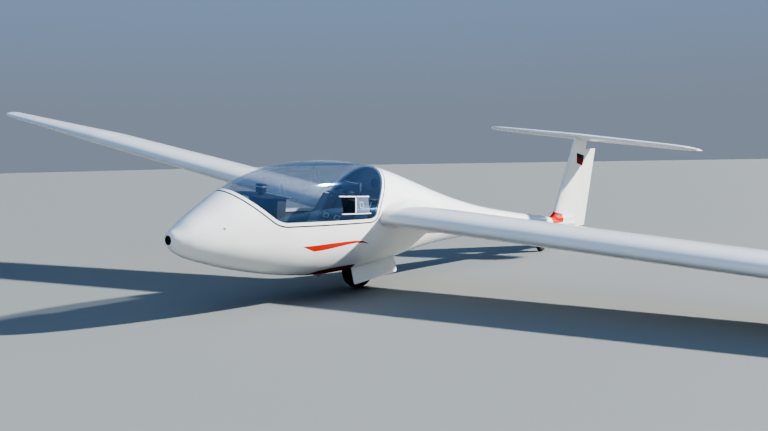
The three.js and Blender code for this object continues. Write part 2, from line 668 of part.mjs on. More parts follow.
const pivot = [1868, 468];
const legThickness = 9;
const legPlate = (side) => {
  const inner = side * (tyreHalf + 10);
  const outer = side * (tyreHalf + 10 + legThickness);
  const [y0, y1] = [Math.min(inner, outer), Math.max(inner, outer)];
  const outline = [[pivot[0] - 24, pivot[1] + 10], [pivot[0] + 22, pivot[1] + 18],
    [wheelX + 30, wheelZ + 8], [wheelX + 16, wheelZ - 24], [wheelX - 18, wheelZ - 22]];
  return prismAcross(outline, y0, y1);
};
piece('gear_fork', joined([legPlate(-1), legPlate(1),
  rod([pivot[0], -wellHalf + seat, pivot[1]], [pivot[0], wellHalf - seat, pivot[1]], 17)])
  .subtract(rod([wheelX, -100, wheelZ], [wheelX, 100, wheelZ], axleRadius + seat)), paintedSteel);

const boxWall = 5;
const wheelBox = block(wellStart - boxWall, wellEnd + boxWall, -wellHalf - boxWall, wellHalf + boxWall,
  150, wellTop + boxWall)
  .subtract(block(wellStart, wellEnd, -wellHalf, wellHalf, 100, wellTop))
  .intersect(hullForm(cabinStart, cabinEnd, hullWall + seat, 14, hullAround));
piece('wheel_box', wheelBox, gelcoat);

const doorTilt = 20 * degree;
const doorTop = 300;
const [doorFront, doorRear] = [207, 159];   // depth of the panel at its two ends, from doorTop
const doorHalfThickness = 3;
function gearDoor(side) {
  const frame = new THREE.Matrix4().makeTranslation(0, side * (wellHalf + 8), doorTop);
  frame.multiply(new THREE.Matrix4().makeRotationX(side * doorTilt));
  const [start, end] = [wellStart + 8, wellEnd - 8];
  const panel = prismAcross([[start, -doorFront], [end, -doorRear], [end, 10], [start, 10]],
    -doorHalfThickness, doorHalfThickness);
  return moved(panel, frame).subtract(hullSeat);
}
piece('gear_door_port', gearDoor(-1), gelcoat);
piece('gear_door_starboard', gearDoor(1), gelcoat);

// Tail wheel in its fairing

const tailHalf = tailWheelWidth / 2;
const tailAxleRadius = 8;
piece('tail_tyre', turnedAcross([
  [42, -20], [70, -tailHalf], [90, -tailHalf + 6], [tailWheelRadius, -crownHalf],
  [tailWheelRadius, crownHalf], [90, tailHalf - 6], [70, tailHalf], [42, 20],
], tailWheelX, tailWheelRadius, 24), tyreRubber);
piece('tail_hub', turnedAcross([
  [tailAxleRadius + seat, -26], [16, -26], [20, -14], [42 - seat, -20],
  [42 - seat, 20], [20, 14], [16, 26], [tailAxleRadius + seat, 26],
], tailWheelX, tailWheelRadius, 24), aluminium);
piece('tail_axle', rod([tailWheelX, -38, tailWheelRadius], [tailWheelX, 38, tailWheelRadius],
  tailAxleRadius), aluminium);
const fairingRows = [
  // x, half width, lowest
  [5145, 3, 262],
  [5190, 26, 178],
  [5250, 38, 118],
  [5330, 42, 84],
  [5410, 38, 104],
  [5500, 22, 176],
  [5560, 3, 248],
];
const fairingRing = ([x, half, low]) => [[x, -half, 330], [x, half, 330], [x, half, low + 10],
  [x, half * 0.6, low], [x, -half * 0.6, low], [x, -half, low + 10]];
piece('tail_fairing', skin(fairingRows.map(fairingRing)).subtract(hullSeat)
  .subtract(rod([tailWheelX, -tailHalf - 6, tailWheelRadius], [tailWheelX, tailHalf + 6, tailWheelRadius],
    tailWheelRadius + 12, tailWheelRadius + 12, 28))
  .subtract(rod([tailWheelX, -60, tailWheelRadius], [tailWheelX, 60, tailWheelRadius],
    tailAxleRadius + seat)), gelcoat);

// Nose vent and belly tow hook

const cup = [[-3, 27], [-3, ventRadius - 3], [2, ventRadius - seat], [ventDepth - seat, ventRadius - seat],
  [ventDepth - seat, 0], [ventDepth - 8, 0], [ventDepth - 8, 24]];
const cupGeometry = new THREE.LatheGeometry([...cup, cup[0]].map(([x, r]) => new THREE.Vector2(r, -x)), 28);
cupGeometry.rotateZ(Math.PI / 2);
cupGeometry.translate(0, 0, noseZ);
piece('nose_vent', solidOf(cupGeometry), blackPlastic);
piece('tow_hook', joined([block(1470, 1560, -16, 16, 176, 240), block(1500, 1530, -8, 8, 164, 180)])
  .subtract(hullSeat), paintedSteel);

// Cockpit

// Cut to the inside of the hull, and clear of the canopy frame
const frameRoom = hullForm(canopyStart, canopyEnd, 0, 18, hullAround, 1)
  .subtract(hullForm(canopyStart - 10, canopyEnd + 10, frameDepth + clearance + 1, 18, hullAround, 1))
  .intersect(canopyPrism(-clearance - 1));
const fit = (solid) => solid.intersect(cabinFit).subtract(frameRoom);
const panLine = [[965, 462], [1190, 396], [1300, 362], [1400, 338], [1470, 345], [1530, 395],
  [1590, 480], [1700, 660], [1800, 826]];
const [panThickness, cushionThickness, cushionHalf] = [6, 38, 190];
const [stickX, stickSlot] = [1085, 42];
piece('seat_pan', fit(sheetAcross(panLine, panThickness, 400))
  .subtract(rod([stickX, 0, 200], [stickX, 0, 600], stickSlot)), gelcoat);
piece('seat_cushion', sheetAcross(insetLine(panLine.slice(1, 4), seat + cushionThickness),
  cushionThickness, cushionHalf), upholstery);
piece('back_cushion', sheetAcross(insetLine(panLine.slice(6), seat + cushionThickness),
  cushionThickness, cushionHalf), upholstery);
piece('rear_shelf', fit(joined([
  block(1826, 2150, -400, 400, 836, 842),
  block(2150, 2156, -400, 400, 700, 1200),
])), gelcoat);
piece('headrest', block(1835, 1880, -110, 110, 842 + seat, 965), upholstery);

const hoodLine = [[690, 893], [800, 895], [965, 884]];
const hoodThickness = 5;
const overHood = (lift) => prismAcross([...hoodLine.map(([x, z]) => [x, z + lift]), [965, 1300], [690, 1300]],
  -300, 300);
piece('panel_hood', sheetAcross(hoodLine, hoodThickness, 185), blackPlastic);
piece('instrument_pod', fit(joined([block(850, 940, -165, 165, 560, 920), block(870, 930, -60, 60, 200, 570)]))
  .subtract(overHood(-hoodThickness - 2 * seat)), greyPlastic);
piece('compass', block(800, 850, -30, 30, 880, 958).intersect(overHood(seat)), blackPlastic);
piece('control_stick', joined([
  rod([stickX, 0, 200], [stickX, 0, 500], 9),
  rod([stickX, 0, 495], [stickX - 20, 0, 610], 16),
]).intersect(cabinFit), blackPlastic);
piece('rudder_pedals', fit(joined([rod([600, -400, 520], [600, 400, 520], 9),
  ...[-1, 1].map((side) => block(594, 606, side * 95 - 40, side * 95 + 40, 515, 640))])), aluminium);
piece('console_port', fit(block(960, 1560, -400, -262, 560, 580)), greyPlastic);
piece('console_starboard', fit(block(960, 1560, 262, 400, 560, 580)), greyPlastic);

// Parked stance: banked and pitched until the main tyre, the tail tyre and the port tip skid
// stand on one level ground, then moved so that the origin is under the middle of the whole.

const byName = (name) => level.getObjectByName(name);
function lowest(mesh) {
  level.updateWorldMatrix(true, true);
  const point = new THREE.Vector3();
  const p = mesh.geometry.attributes.position;
  let low = Infinity;
  for (let i = 0; i < p.count; i++) {
    low = Math.min(low, point.fromBufferAttribute(p, i).applyMatrix4(mesh.matrixWorld).z);
  }
  return low;
}
let [bank, pitch] = [8 * degree, 0];
for (let step = 0; step < 12; step++) {
  level.rotation.set(bank, pitch, 0, 'YXZ');
  const main = lowest(byName('main_tyre'));
  pitch += (lowest(byName('tail_tyre')) - main) / (tailWheelX - wheelX);
  bank += (lowest(portTip) - main) / skidBar.y;
}
level.rotation.set(bank, pitch, 0, 'YXZ');
level.updateWorldMatrix(true, true);
const bounds = new THREE.Box3().setFromObject(level, true);
const middle = bounds.getCenter(new THREE.Vector3());
level.position.set(-middle.x, -middle.y, -bounds.min.z);

export default glider;
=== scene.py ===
import math

import bmesh
import bpy
from mathutils import Matrix, Vector


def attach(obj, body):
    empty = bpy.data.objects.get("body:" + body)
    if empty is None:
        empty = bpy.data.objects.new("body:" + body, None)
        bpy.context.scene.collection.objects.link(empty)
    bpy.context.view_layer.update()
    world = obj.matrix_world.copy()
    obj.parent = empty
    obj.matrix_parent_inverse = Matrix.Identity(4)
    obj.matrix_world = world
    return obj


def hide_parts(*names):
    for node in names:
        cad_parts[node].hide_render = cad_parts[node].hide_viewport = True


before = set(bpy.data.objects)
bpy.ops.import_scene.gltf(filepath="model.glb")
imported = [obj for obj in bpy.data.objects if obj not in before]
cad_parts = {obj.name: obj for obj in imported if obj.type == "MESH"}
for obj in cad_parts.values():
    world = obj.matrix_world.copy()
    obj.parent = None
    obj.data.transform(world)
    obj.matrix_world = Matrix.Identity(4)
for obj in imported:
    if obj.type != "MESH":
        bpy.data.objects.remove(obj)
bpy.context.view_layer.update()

# Camera
# It stands at head height ahead of the port wing and looks aft along the hull, as in the photograph.
# The picture is 768 pixels wide, and the focal length in pixels fixes the lens.


def placed(name, data):
    """An object of its data, linked into the scene."""
    made = bpy.data.objects.new(name, data)
    bpy.context.scene.collection.objects.link(made)
    return made


picture_width, focal_pixels, sensor_width = 768, 810.353, 36
camera_place = Vector((-6.522061, -4.722821, 1.130134))
camera_right = Vector((0.646142, -0.762969, -0.019463))
camera_look = Vector((0.760474, 0.645771, -0.068256))
camera = placed("camera", bpy.data.cameras.new("camera"))
camera.data.sensor_width = sensor_width
camera.data.lens = sensor_width * focal_pixels / picture_width
camera_turn = Matrix((camera_right, camera_right.cross(camera_look), -camera_look)).transposed()
camera.matrix_world = Matrix.Translation(camera_place) @ camera_turn.to_4x4()
bpy.context.scene.camera = camera

# Floor and light
# A plain grey floor lies under a sky that is grey at the horizon and blue above it. The sun stands to port
# and aft, and a broad dim lamp high ahead of the port wing lifts the shadows.
# Nothing here belongs to the glider.


def surface(name, color, roughness, metallic=0.0, coat=0.0, coat_roughness=0.06, alpha=1.0, specular=0.5):
    """A material whose shader has its constants set."""
    made = bpy.data.materials.new(name)
    made.use_nodes = True
    inputs = made.node_tree.nodes["Principled BSDF"].inputs
    inputs["Base Color"].default_value = (*color, 1)
    inputs["Roughness"].default_value = roughness
    inputs["Metallic"].default_value = metallic
    inputs["Coat Weight"].default_value = coat
    inputs["Coat Roughness"].default_value = coat_roughness
    inputs["Alpha"].default_value = alpha
    inputs["Specular IOR Level"].default_value = specular
    return made


floor_half, floor_sink = 150, 0.001
floor_mesh = bpy.data.meshes.new("floor")
floor_mesh.from_pydata([(-floor_half, -floor_half, 0), (floor_half, -floor_half, 0),
                        (floor_half, floor_half, 0), (-floor_half, floor_half, 0)], [], [(0, 1, 2, 3)])
floor_mesh.materials.append(surface("floor_paint", (0.25, 0.258, 0.246), 0.9))
floor = placed("floor", floor_mesh)
floor.location.z = -floor_sink

surround = bpy.data.worlds.new("surround")
surround.use_nodes = True
sky = surround.node_tree
around, height_parts, shading = (sky.nodes.new(f"ShaderNode{kind}")
                                 for kind in ("TexCoord", "SeparateXYZ", "ValToRGB"))
sky_rows = ((0.06, (0.15, 0.175, 0.215, 1)), (0.4, (0.14, 0.23, 0.39, 1)))
for element, (position, color) in zip(shading.color_ramp.elements, sky_rows):
    element.position, element.color = position, color
sky.links.new(around.outputs["Generated"], height_parts.inputs["Vector"])
sky.links.new(height_parts.outputs["Z"], shading.inputs["Fac"])
sky.links.new(shading.outputs["Color"], sky.nodes["Background"].inputs["Color"])
bpy.context.scene.world = surround

sun = placed("lamp", bpy.data.lights.new("lamp", "SUN"))
sun.data.energy = 5.6
sun.data.angle = math.radians(2)
sun.data.color = (1, 0.97, 0.92)
sun.rotation_euler = Vector((0.663, -0.581, 0.473)).to_track_quat("Z", "Y").to_euler()

fill = placed("fill", bpy.data.lights.new("fill", "AREA"))
fill.data.energy = 120
fill.data.size = 9
fill.location = (-8, -5, 7)
fill_aim = Vector((-1, 0, 0.6))
fill.rotation_euler = (fill.location - fill_aim).to_track_quat("Z", "Y").to_euler()
bpy.context.scene.view_settings.view_transform = "AgX"
bpy.context.scene.view_settings.look = "AgX - High Contrast"
bpy.context.scene.view_settings.exposure = 0.42

# Hull shell
# The real hull is two moulded half shells of glass cloth and resin, bonded on the centre line, with the
# fin and the wing root fairings moulded on and the whole finished in polished white gelcoat.
# Sizes are in millimetres, level, from the nose tip; the parked stance then banks them.
mm = 0.001
degree = math.radians(1)
bank, nose_up = 7.365773 * degree, -0.00487 * degree
stance = (Matrix.Translation((-3.222888, 0.128012, -0.000914)) @ Matrix.Rotation(nose_up, 4, "Y")
          @ Matrix.Rotation(bank, 4, "X") @ Matrix.Scale(mm, 4))
level_again = stance.inverted()

boom_end = 6020
hull_columns = ("x", "top", "bottom", "half", "widest", "power")
hull_stations = (
    (0, 648, 570, 40, 609, 2), (15, 664, 546, 64, 608, 2), (55, 690, 512, 98, 606, 2),
    (130, 746, 471, 141, 602, 2.05), (250, 823, 427, 188, 600, 2.05), (440, 936, 368, 240, 600, 2.1),
    (650, 1028, 315, 277, 605, 2.15), (850, 1089, 273, 301, 610, 2.25), (1050, 1124, 239, 315, 615, 2.3),
    (1300, 1142, 211, 325, 620, 2.3), (1600, 1144, 202, 327, 628, 2.3), (1900, 1119, 208, 316, 634, 2.25),
    (2150, 1078, 221, 293, 638, 2.2), (2400, 1015, 246, 262, 632, 2.15), (2700, 928, 286, 225, 610, 2.1),
    (3000, 840, 313, 192, 580, 2.05), (3400, 734, 330, 160, 534, 2), (3900, 628, 335, 132, 482, 2),
    (4500, 534, 326, 112, 430, 2), (5100, 454, 300, 97, 377, 2), (5600, 393, 276, 82, 335, 2),
    (boom_end, 352, 248, 60, 300, 2),
)
hull_around = 96


def hull_value(x, column):
    """Smooth value of one column of the hull at x, as a cubic through the stations."""
    k = hull_columns.index(column)
    rows = hull_stations
    i = next((n for n, row in enumerate(rows) if row[0] >= x), len(rows) - 1) - 1
    i = min(max(i, 0), len(rows) - 2)

    def slope(j):
        a, b = rows[max(j - 1, 0)], rows[min(j + 1, len(rows) - 1)]
        return (b[k] - a[k]) / (b[0] - a[0])

    p, q = rows[i], rows[i + 1]
    length = q[0] - p[0]
    t = (x - p[0]) / length
    return ((2 * t**3 - 3 * t**2 + 1) * p[k] + (t**3 - 2 * t**2 + t) * length * slope(i)
            + (3 * t**2 - 2 * t**3) * q[k] + (t**3 - t**2) * length * slope(i + 1))


def hull_point(x, angle, inset=0):
    """Point of the hull's skin at station x and at an angle round it, from starboard over the top."""
    top, bottom, half, widest, power = (hull_value(x, c) for c in hull_columns[1:])
    c, s = math.cos(angle), math.sin(angle)
    reach = (top - widest if s > 0 else widest - bottom) - inset
    return (x, math.copysign((half - inset) * abs(c) ** (2 / power), c),
            widest + math.copysign(reach * abs(s) ** (2 / power), s))


def hull_ring(x, inset=0):
    return [hull_point(x, 2 * math.pi * (j + 0.5) / hull_around, inset) for j in range(hull_around)]


def loft(rings):
    """Closed form through rings of equal point counts, with flat ends."""
    count = len(rings[0])
    points = [p for ring in rings for p in ring]
    faces = []
    for i in range(len(rings) - 1):
        for j in range(count):
            a, b = i * count + j, i * count + (j + 1) % count
            faces.append((a, b, b + count, a + count))
    faces.append(tuple(reversed(range(count))))
    last = (len(rings) - 1) * count
    faces.append(tuple(range(last, last + count)))
    return points, faces


def hull_form(start, end, inset, sections, crowding=1.0):
    """Part of the hull's form, set in from its skin."""
    return loft([hull_ring(start + (end - start) * (i / sections) ** crowding, inset)
                 for i in range(sections + 1)])


def together(*forms):
    """Several forms as one list of points and faces."""
    points, faces = [], []
    for form_points, form_faces in forms:
        faces += [tuple(i + len(points) for i in face) for face in form_faces]
        points += form_points
    return points, faces


def solid(name, form, placing=None):
    """A mesh object of a form in level millimetres, set in the parked stance, its faces turned outwards."""
    points, faces = form
    mesh = bpy.data.meshes.new(name)
    mesh.from_pydata([Vector(p) for p in points], [], faces)
    if placing is not None:
        mesh.transform(placing)
    mesh.transform(stance)
    work = bmesh.new()
    work.from_mesh(mesh)
    bmesh.ops.recalc_face_normals(work, faces=work.faces)
    work.to_mesh(mesh)
    work.free()
    return placed(name, mesh)


def applied(part):
    """Makes a piece's modifiers part of its mesh."""
    bpy.context.view_layer.update()
    shaped = bpy.data.meshes.new_from_object(part.evaluated_get(bpy.context.evaluated_depsgraph_get()))
    part.modifiers.clear()
    part.data = shaped
    return part


def carve(body, tool, operation="DIFFERENCE", keep=False):
    """Joins or cuts a tool into a body, and takes the tool away."""
    change = body.modifiers.new("carve", "BOOLEAN")
    change.object, change.operation, change.solver = tool, operation, "MANIFOLD"
    applied(body)
    if not keep:
        bpy.data.objects.remove(tool)
    return body


def cut(body, name, form, placing=None):
    """Takes a form out of a body."""
    return carve(body, solid(name, form, placing))


def join(body, name, form, placing=None):
    """Makes a form one with a body."""
    return carve(body, solid(name, form, placing), "UNION")


def trim(body, name, form, placing=None):
    """Leaves of a body what lies inside a form."""
    return carve(body, solid(name, form, placing), "INTERSECT")


def prism_across(outline, low, high):
    """Prism across the hull from a side view outline of x, z points."""
    count = len(outline)
    points = [(x, low, z) for x, z in outline] + [(x, high, z) for x, z in outline]
    faces = [tuple(range(count)), tuple(range(2 * count - 1, count - 1, -1))]
    faces += [(i, (i + 1) % count, (i + 1) % count + count, i + count) for i in range(count)]
    return points, faces


def slab(x0, x1, y0, y1, z0, z1):
    return prism_across([(x0, z0), (x1, z0), (x1, z1), (x0, z1)], y0, y1)


def circle(centre, across, other, radius, sides):
    """Points round a centre, in the plane of two directions."""
    return [tuple(centre + radius * (math.cos(t) * across + math.sin(t) * other))
            for t in (2 * math.pi * i / sides for i in range(sides))]


def rod(start, end, radius, end_radius=None, sides=32):
    """Round bar or cone between two points."""
    a, b = Vector(start), Vector(end)
    along = (b - a).normalized()
    across = along.cross(Vector((0, 0, 1)) if abs(along.z) < 0.9 else Vector((1, 0, 0))).normalized()
    other = along.cross(across)
    return loft([circle(a, across, other, radius, sides),
                 circle(b, across, other, radius if end_radius is None else end_radius, sides)])


def half_thickness(share, thickness):
    """Half thickness of a wing section at a share of its chord."""
    return 5 * thickness * (0.2969 * math.sqrt(share) - 0.126 * share - 0.3516 * share**2
                            + 0.2843 * share**3 - 0.1036 * share**4)


def camber_line(share, bow):
    """Height of a wing section's middle line, which is highest at 0.4 of its chord."""
    if share < 0.4:
        return bow / 0.16 * (0.8 * share - share**2)
    return bow / 0.36 * (0.2 + 0.8 * share - share**2)


trailing_edge = 1.5


def section(chord, thickness, bow=0.0, grow=0.0, points=33):
    """Wing section as distances along and normal to the chord, trailing edge first over the top."""
    shares = [(1 - math.cos(math.pi * i / (points - 1))) / 2 for i in range(points)]

    def row(share, side):
        half = chord * half_thickness(share, thickness) + trailing_edge * share + grow
        return (chord * share + grow * (2 * share - 1),
                chord * camber_line(share, bow) + side * (half if share > 0 else 0))

    return [row(s, 1) for s in reversed(shares)] + [row(s, -1) for s in shares[1:]]


def between(rows, at, column):
    """Value of one column of a table at a place in its first column, on straight lines between rows."""
    i = min(max(next((n for n, row in enumerate(rows) if row[0] >= at), len(rows)) - 1, 0), len(rows) - 2)
    t = (at - rows[i][0]) / (rows[i + 1][0] - rows[i][0])
    return rows[i][column] + t * (rows[i + 1][column] - rows[i][column])


wing_root_height, wing_root_y, dihedral, wing_tip_y, wing_sag = 682, 340, 3.25 * degree, 7500, 90
incidence, camber = 3.3 * degree, 0.035
wing_split, wing_tip_start = 400, 7100
wing_columns = ("y", "x", "chord", "thickness", "z")
wing_stations = [
    (y, x, chord, thickness,
     wing_root_height + (y - wing_root_y) * math.tan(dihedral) - wing_sag * (y / wing_tip_y) ** 3)
    for y, x, chord, thickness in (
        (150, 1925, 985, 0.2), (290, 1910, 982, 0.195), (wing_split, 1895, 986, 0.19),
        (4450, 1945, 880, 0.17), (wing_tip_start, 2152, 493, 0.14), (7250, 2240, 382, 0.135),
        (7380, 2355, 240, 0.13), (7460, 2452, 118, 0.13), (7496, 2505, 50, 0.13))]


def wing_value(y, column):
    return between(wing_stations, y, wing_columns.index(column))


def wing_point(y, along, normal, side):
    """Level place of a point given along and normal to the wing's chord at y."""
    c, s = math.cos(incidence), math.sin(incidence)
    return wing_value(y, "x") + along * c + normal * s, side * y, wing_value(y, "z") - along * s + normal * c


def wing_ring(y, side, grow=0.0):
    return [wing_point(y, along, normal, side)
            for along, normal in section(wing_value(y, "chord"), wing_value(y, "thickness"), camber, grow)]


tail_height, tail_pivot_x, tail_incidence = 1373, 6145, 4.5 * degree
tail_columns = ("y", "x", "chord", "thickness")
tail_stations = ((0, 5845, 600, 0.13), (1128, 5950, 455, 0.13), (1315, 6005, 372, 0.125),
                 (1398, 6130, 205, 0.12))
tail_tilt = (Matrix.Translation((tail_pivot_x, 0, tail_height)) @ Matrix.Rotation(tail_incidence, 4, "Y")
             @ Matrix.Translation((-tail_pivot_x, 0, -tail_height)))


def tail_values(y):
    return (between(tail_stations, abs(y), k) for k in range(1, len(tail_columns)))


def tail_ring(y, grow=0.0):
    x, chord, thickness = tail_values(y)
    return [(x + along, y, tail_height + normal) for along, normal in section(chord, thickness, 0, grow)]


fin_thickness = 0.11
rudder_bottom, rudder_top = 246, 1238
clearance, cove_spread = 5, 60


def swept_line(x, height, sweep):
    """Line in side view that gives x at a height, from one point and its sweep aft per millimetre up."""
    return lambda z: x + (z - height) * sweep


fin_edge = swept_line(5535, 458, 0.357)
fin_trail = swept_line(6383, 239, 0.066)
rudder_hinge = swept_line(6030, 250, 0.085)


def fin_half(z):
    """Half thickness of the fin at the rudder's hinge."""
    chord = fin_trail(z) - fin_edge(z)
    return chord * half_thickness((rudder_hinge(z) - fin_edge(z)) / chord, fin_thickness)


def flap_outline(radius, tail, cove):
    """Round nose about a hinge, as distances aft and across: a flap's with its tail, or its cove's."""
    radius += clearance if cove else 0
    arc = [(radius * math.cos(t), radius * math.sin(t))
           for t in (math.pi / 2 + math.pi * i / 16 for i in range(17))]
    aft, across = tail
    if not cove:
        return [(aft, across + trailing_edge), *arc, (aft, across - trailing_edge)]
    return [(aft + cove_spread, 2 * radius), (0, 2 * radius), *arc, (0, -2 * radius),
            (aft + cove_spread, -2 * radius)]


def rudder_ring(z, cove):
    rows = flap_outline(fin_half(z), (fin_trail(z) - rudder_hinge(z), 0), cove)
    return [(rudder_hinge(z) + aft, across, z) for aft, across in rows]


# The fin sweeps forward and thickens in a fillet where it meets the boom
fin_fillet, fin_foot = 85, 392


def fillet(distance, radius):
    """How far a rounded inner corner stands out at a distance from the surface it leaves."""
    t = min(max(distance / radius, 0), 1)
    return radius * (1 - math.sqrt(max(0, 1 - (1 - t) ** 2)))


def fin_ring(z):
    extra = fillet(z - fin_foot, fin_fillet)
    chord = fin_trail(z) - fin_edge(z)
    made = []
    for along, normal in section(chord, fin_thickness):
        forward = max(0, 1 - along / (0.5 * chord))
        swell = extra * 0.5 * min(1, along / 60) * max(0, 1 - along / (0.62 * chord))
        made.append((fin_edge(z) + along - extra * forward, normal + math.copysign(swell, normal), z))
    return made


nose_zone, nose_steps, nose_crowding, boom_steps = 260, 30, 1.6, 230
hull_stops = [nose_zone * (i / nose_steps) ** nose_crowding for i in range(nose_steps)]
hull_stops += [nose_zone + (boom_end - nose_zone) * i / boom_steps for i in range(boom_steps + 1)]
hull = solid("hull_shell", loft([hull_ring(x) for x in hull_stops]))
fin_levels = [300, 345, 380] + [fin_foot + fin_fillet * (i / 10) ** 1.4 for i in range(11)]
fin_levels += [600, 800, 1000, 1200, 1433]
fin = solid("fin", loft([fin_ring(z) for z in fin_levels]))
past_fin = 100
cut(fin, "over_tail", slab(5600, 6700, -past_fin, past_fin, tail_height, tail_height + 300), tail_tilt)
carve(hull, fin, "UNION")

# The wing root fairings flare out where they meet the hull
root_start, root_swell = 232, 0.62
root_reach = wing_split - root_start
root_levels = [120, 180, root_start] + [root_start + root_reach * (i / 14) for i in range(1, 15)]
for side in (-1, 1):
    join(hull, "fairing", loft([wing_ring(y, side, root_swell * fillet(y - root_start, root_reach) + 0.01)
                                for y in root_levels]))

# The rudder turns on pins between a bracket under its foot and one at the top of the fin
cut(hull, "cove", loft([rudder_ring(z, True) for z in (rudder_bottom - 40, rudder_top + clearance)]))
cut(hull, "over_rudder", slab(rudder_hinge(rudder_top) + 12, 6600, -past_fin, past_fin,
                              rudder_top, tail_height + 100))
tail_seat_rows = (-1398, -1315, -1128, 0, 1128, 1315, 1398)
cut(hull, "tail_seat", loft([tail_ring(y, 0.6) for y in tail_seat_rows]), tail_tilt)
bracket_half, bracket_front, bracket_low, hinge_pin = 14, 5910, rudder_bottom - 24, 5
hinge_low, hinge_high = rudder_hinge(rudder_bottom), rudder_hinge(rudder_top)
join(hull, "foot", slab(bracket_front, hinge_low + bracket_half, -bracket_half, bracket_half,
                        bracket_low, rudder_bottom - clearance))
join(hull, "foot_web", slab(bracket_front, bracket_front + 60, -bracket_half, bracket_half,
                            bracket_low, 300))
join(hull, "head", slab(hinge_high - 54, hinge_high + bracket_half, -bracket_half, bracket_half,
                        rudder_top + clearance, rudder_top + 36))
join(hull, "heel", rod((hinge_low, 0, rudder_bottom - 20), (hinge_low, 0, rudder_bottom + 30), hinge_pin))
join(hull, "crown", rod((hinge_high, 0, rudder_top - 30), (hinge_high, 0, rudder_top + 30), hinge_pin))

# Cockpit hollow, canopy opening, nose vent bore and wheel well
cabin_start, cabin_end, hull_wall = 110, 2350, 10
cut(hull, "cabin", hull_form(cabin_start, cabin_end, hull_wall, 70, 1.3))


def bezier(start, control, end, steps=14):
    rows = []
    for i in range(steps + 1):
        t = i / steps
        rows.append(tuple((1 - t) ** 2 * a + 2 * t * (1 - t) * b + t * t * c
                          for a, b, c in zip(start, control, end)))
    return rows


over_hull, aside = 1400, 500
sill_front, sill_rear = (850, 691), (1752, 666)
canopy_line = ([(400, 977)] + bezier((712, 742), (768, 698), sill_front)
               + bezier(sill_rear, (1842, 664), (1867, 722))
               + bezier((1884, 772), (1922, 852), (2093, 1086)) + [(2120, 1132)])


def inset_line(line, distance):
    """A side view line moved square to itself, up where it runs aft."""
    rows = []
    for i, (x, z) in enumerate(line):
        p, q = line[max(i - 1, 0)], line[min(i + 1, len(line) - 1)]
        dx, dz = q[0] - p[0], q[1] - p[1]
        scale = distance / math.hypot(dx, dz)
        rows.append((x - dz * scale, z + dx * scale))
    return rows


def canopy_prism(distance):
    """All that lies above the canopy's line, set in by a distance."""
    line = inset_line(canopy_line, distance)
    return prism_across(line + [(line[-1][0], over_hull), (line[0][0], over_hull)], -aside, aside)


joint_gap = 10
cut(hull, "canopy_cut", canopy_prism(-joint_gap))
vent_radius, nose_z, vent_depth = 34, 609, 60
cut(hull, "nose_cut", rod((-20, 0, nose_z), (vent_depth, 0, nose_z), vent_radius, sides=64))
well_start, well_end, well_half = 1735, 2335, 130
cut(hull, "well_cut", slab(well_start, well_end, -well_half, well_half, 100, 430))

# Hinge lugs of the canopy, under the starboard sill
canopy_hinge_y, canopy_hinge_z, canopy_hinge_stations = 340, 655, (1010, 1640)
knuckle_half, hinge_bar_half, lug_radius, lug_reach = 12, 34, 8, 40


def hinge_bar(start, end, radius):
    """Round bar on the canopy's hinge line."""
    return rod((start, canopy_hinge_y, canopy_hinge_z), (end, canopy_hinge_y, canopy_hinge_z), radius)


for x in canopy_hinge_stations:
    for side in (-1, 1):
        near, far = x + side * (knuckle_half + clearance), x + side * hinge_bar_half
        join(hull, "lug_plate", slab(min(near, far), max(near, far),
                                     canopy_hinge_y - lug_reach, canopy_hinge_y,
                                     canopy_hinge_z - lug_radius, canopy_hinge_z))
        join(hull, "lug", hinge_bar(near, far, lug_radius))
    join(hull, "lug_pin", hinge_bar(x - hinge_bar_half, x + hinge_bar_half, hinge_pin))


def noise_in(tree, scale, detail, stretch):
    """Noise in a material, in the piece's own space and drawn out by a stretch along its axes."""
    place, stretched, noise = (tree.nodes.new(f"ShaderNode{kind}")
                               for kind in ("TexCoord", "Mapping", "TexNoise"))
    stretched.inputs["Scale"].default_value = stretch
    noise.inputs["Scale"].default_value = scale
    noise.inputs["Detail"].default_value = detail
    tree.links.new(place.outputs["Object"], stretched.inputs["Vector"])
    tree.links.new(stretched.outputs["Vector"], noise.inputs["Vector"])
    return noise.outputs["Fac"]


def speckle(material, scale, low, high, socket, detail=4.0, stretch=(1, 1, 1), spread=(0.3, 0.7)):
    """Lets noise of a scale vary one socket of the shader between two values."""
    tree = material.node_tree
    ramp = tree.nodes.new("ShaderNodeValToRGB")
    for element, position, value in zip(ramp.color_ramp.elements, spread, (low, high)):
        element.position = position
        element.color = (*value, 1) if isinstance(value, tuple) else (value, value, value, 1)
    tree.links.new(noise_in(tree, scale, detail, stretch), ramp.inputs["Fac"])
    tree.links.new(ramp.outputs["Color"], tree.nodes["Principled BSDF"].inputs[socket])


def relief(material, scale, depth, detail=2.0, stretch=(1, 1, 1)):
    """Fine unevenness of the surface, as a bump of a real depth in metres."""
    tree = material.node_tree
    bump = tree.nodes.new("ShaderNodeBump")
    bump.inputs["Distance"].default_value = depth
    bump.inputs["Strength"].default_value = 1
    tree.links.new(noise_in(tree, scale, detail, stretch), bump.inputs["Height"])
    tree.links.new(bump.outputs["Normal"], tree.nodes["Principled BSDF"].inputs["Normal"])


def dress(part, material, body, slot_name, *nodes, sharp=32):
    """Shades a piece, gives it its material, and says which body it rides on and what it stands for."""
    part.data.shade_smooth()
    part.data.set_sharp_from_angle(angle=sharp * degree)
    part.data.materials.clear()
    part.data.materials.append(material)
    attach(part, body)
    if nodes:
        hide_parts(*nodes)
    return part


def deeper(place, depth):
    """Whether a level place lies deeper in the hull's skin than a depth."""
    x, y, z = place
    top, bottom, half, widest, power = (hull_value(x, c) for c in hull_columns[1:])
    reach = (top - widest if z > widest else widest - bottom) - depth
    return (abs(y) / (half - depth)) ** power + (abs(z - widest) / reach) ** power < 1


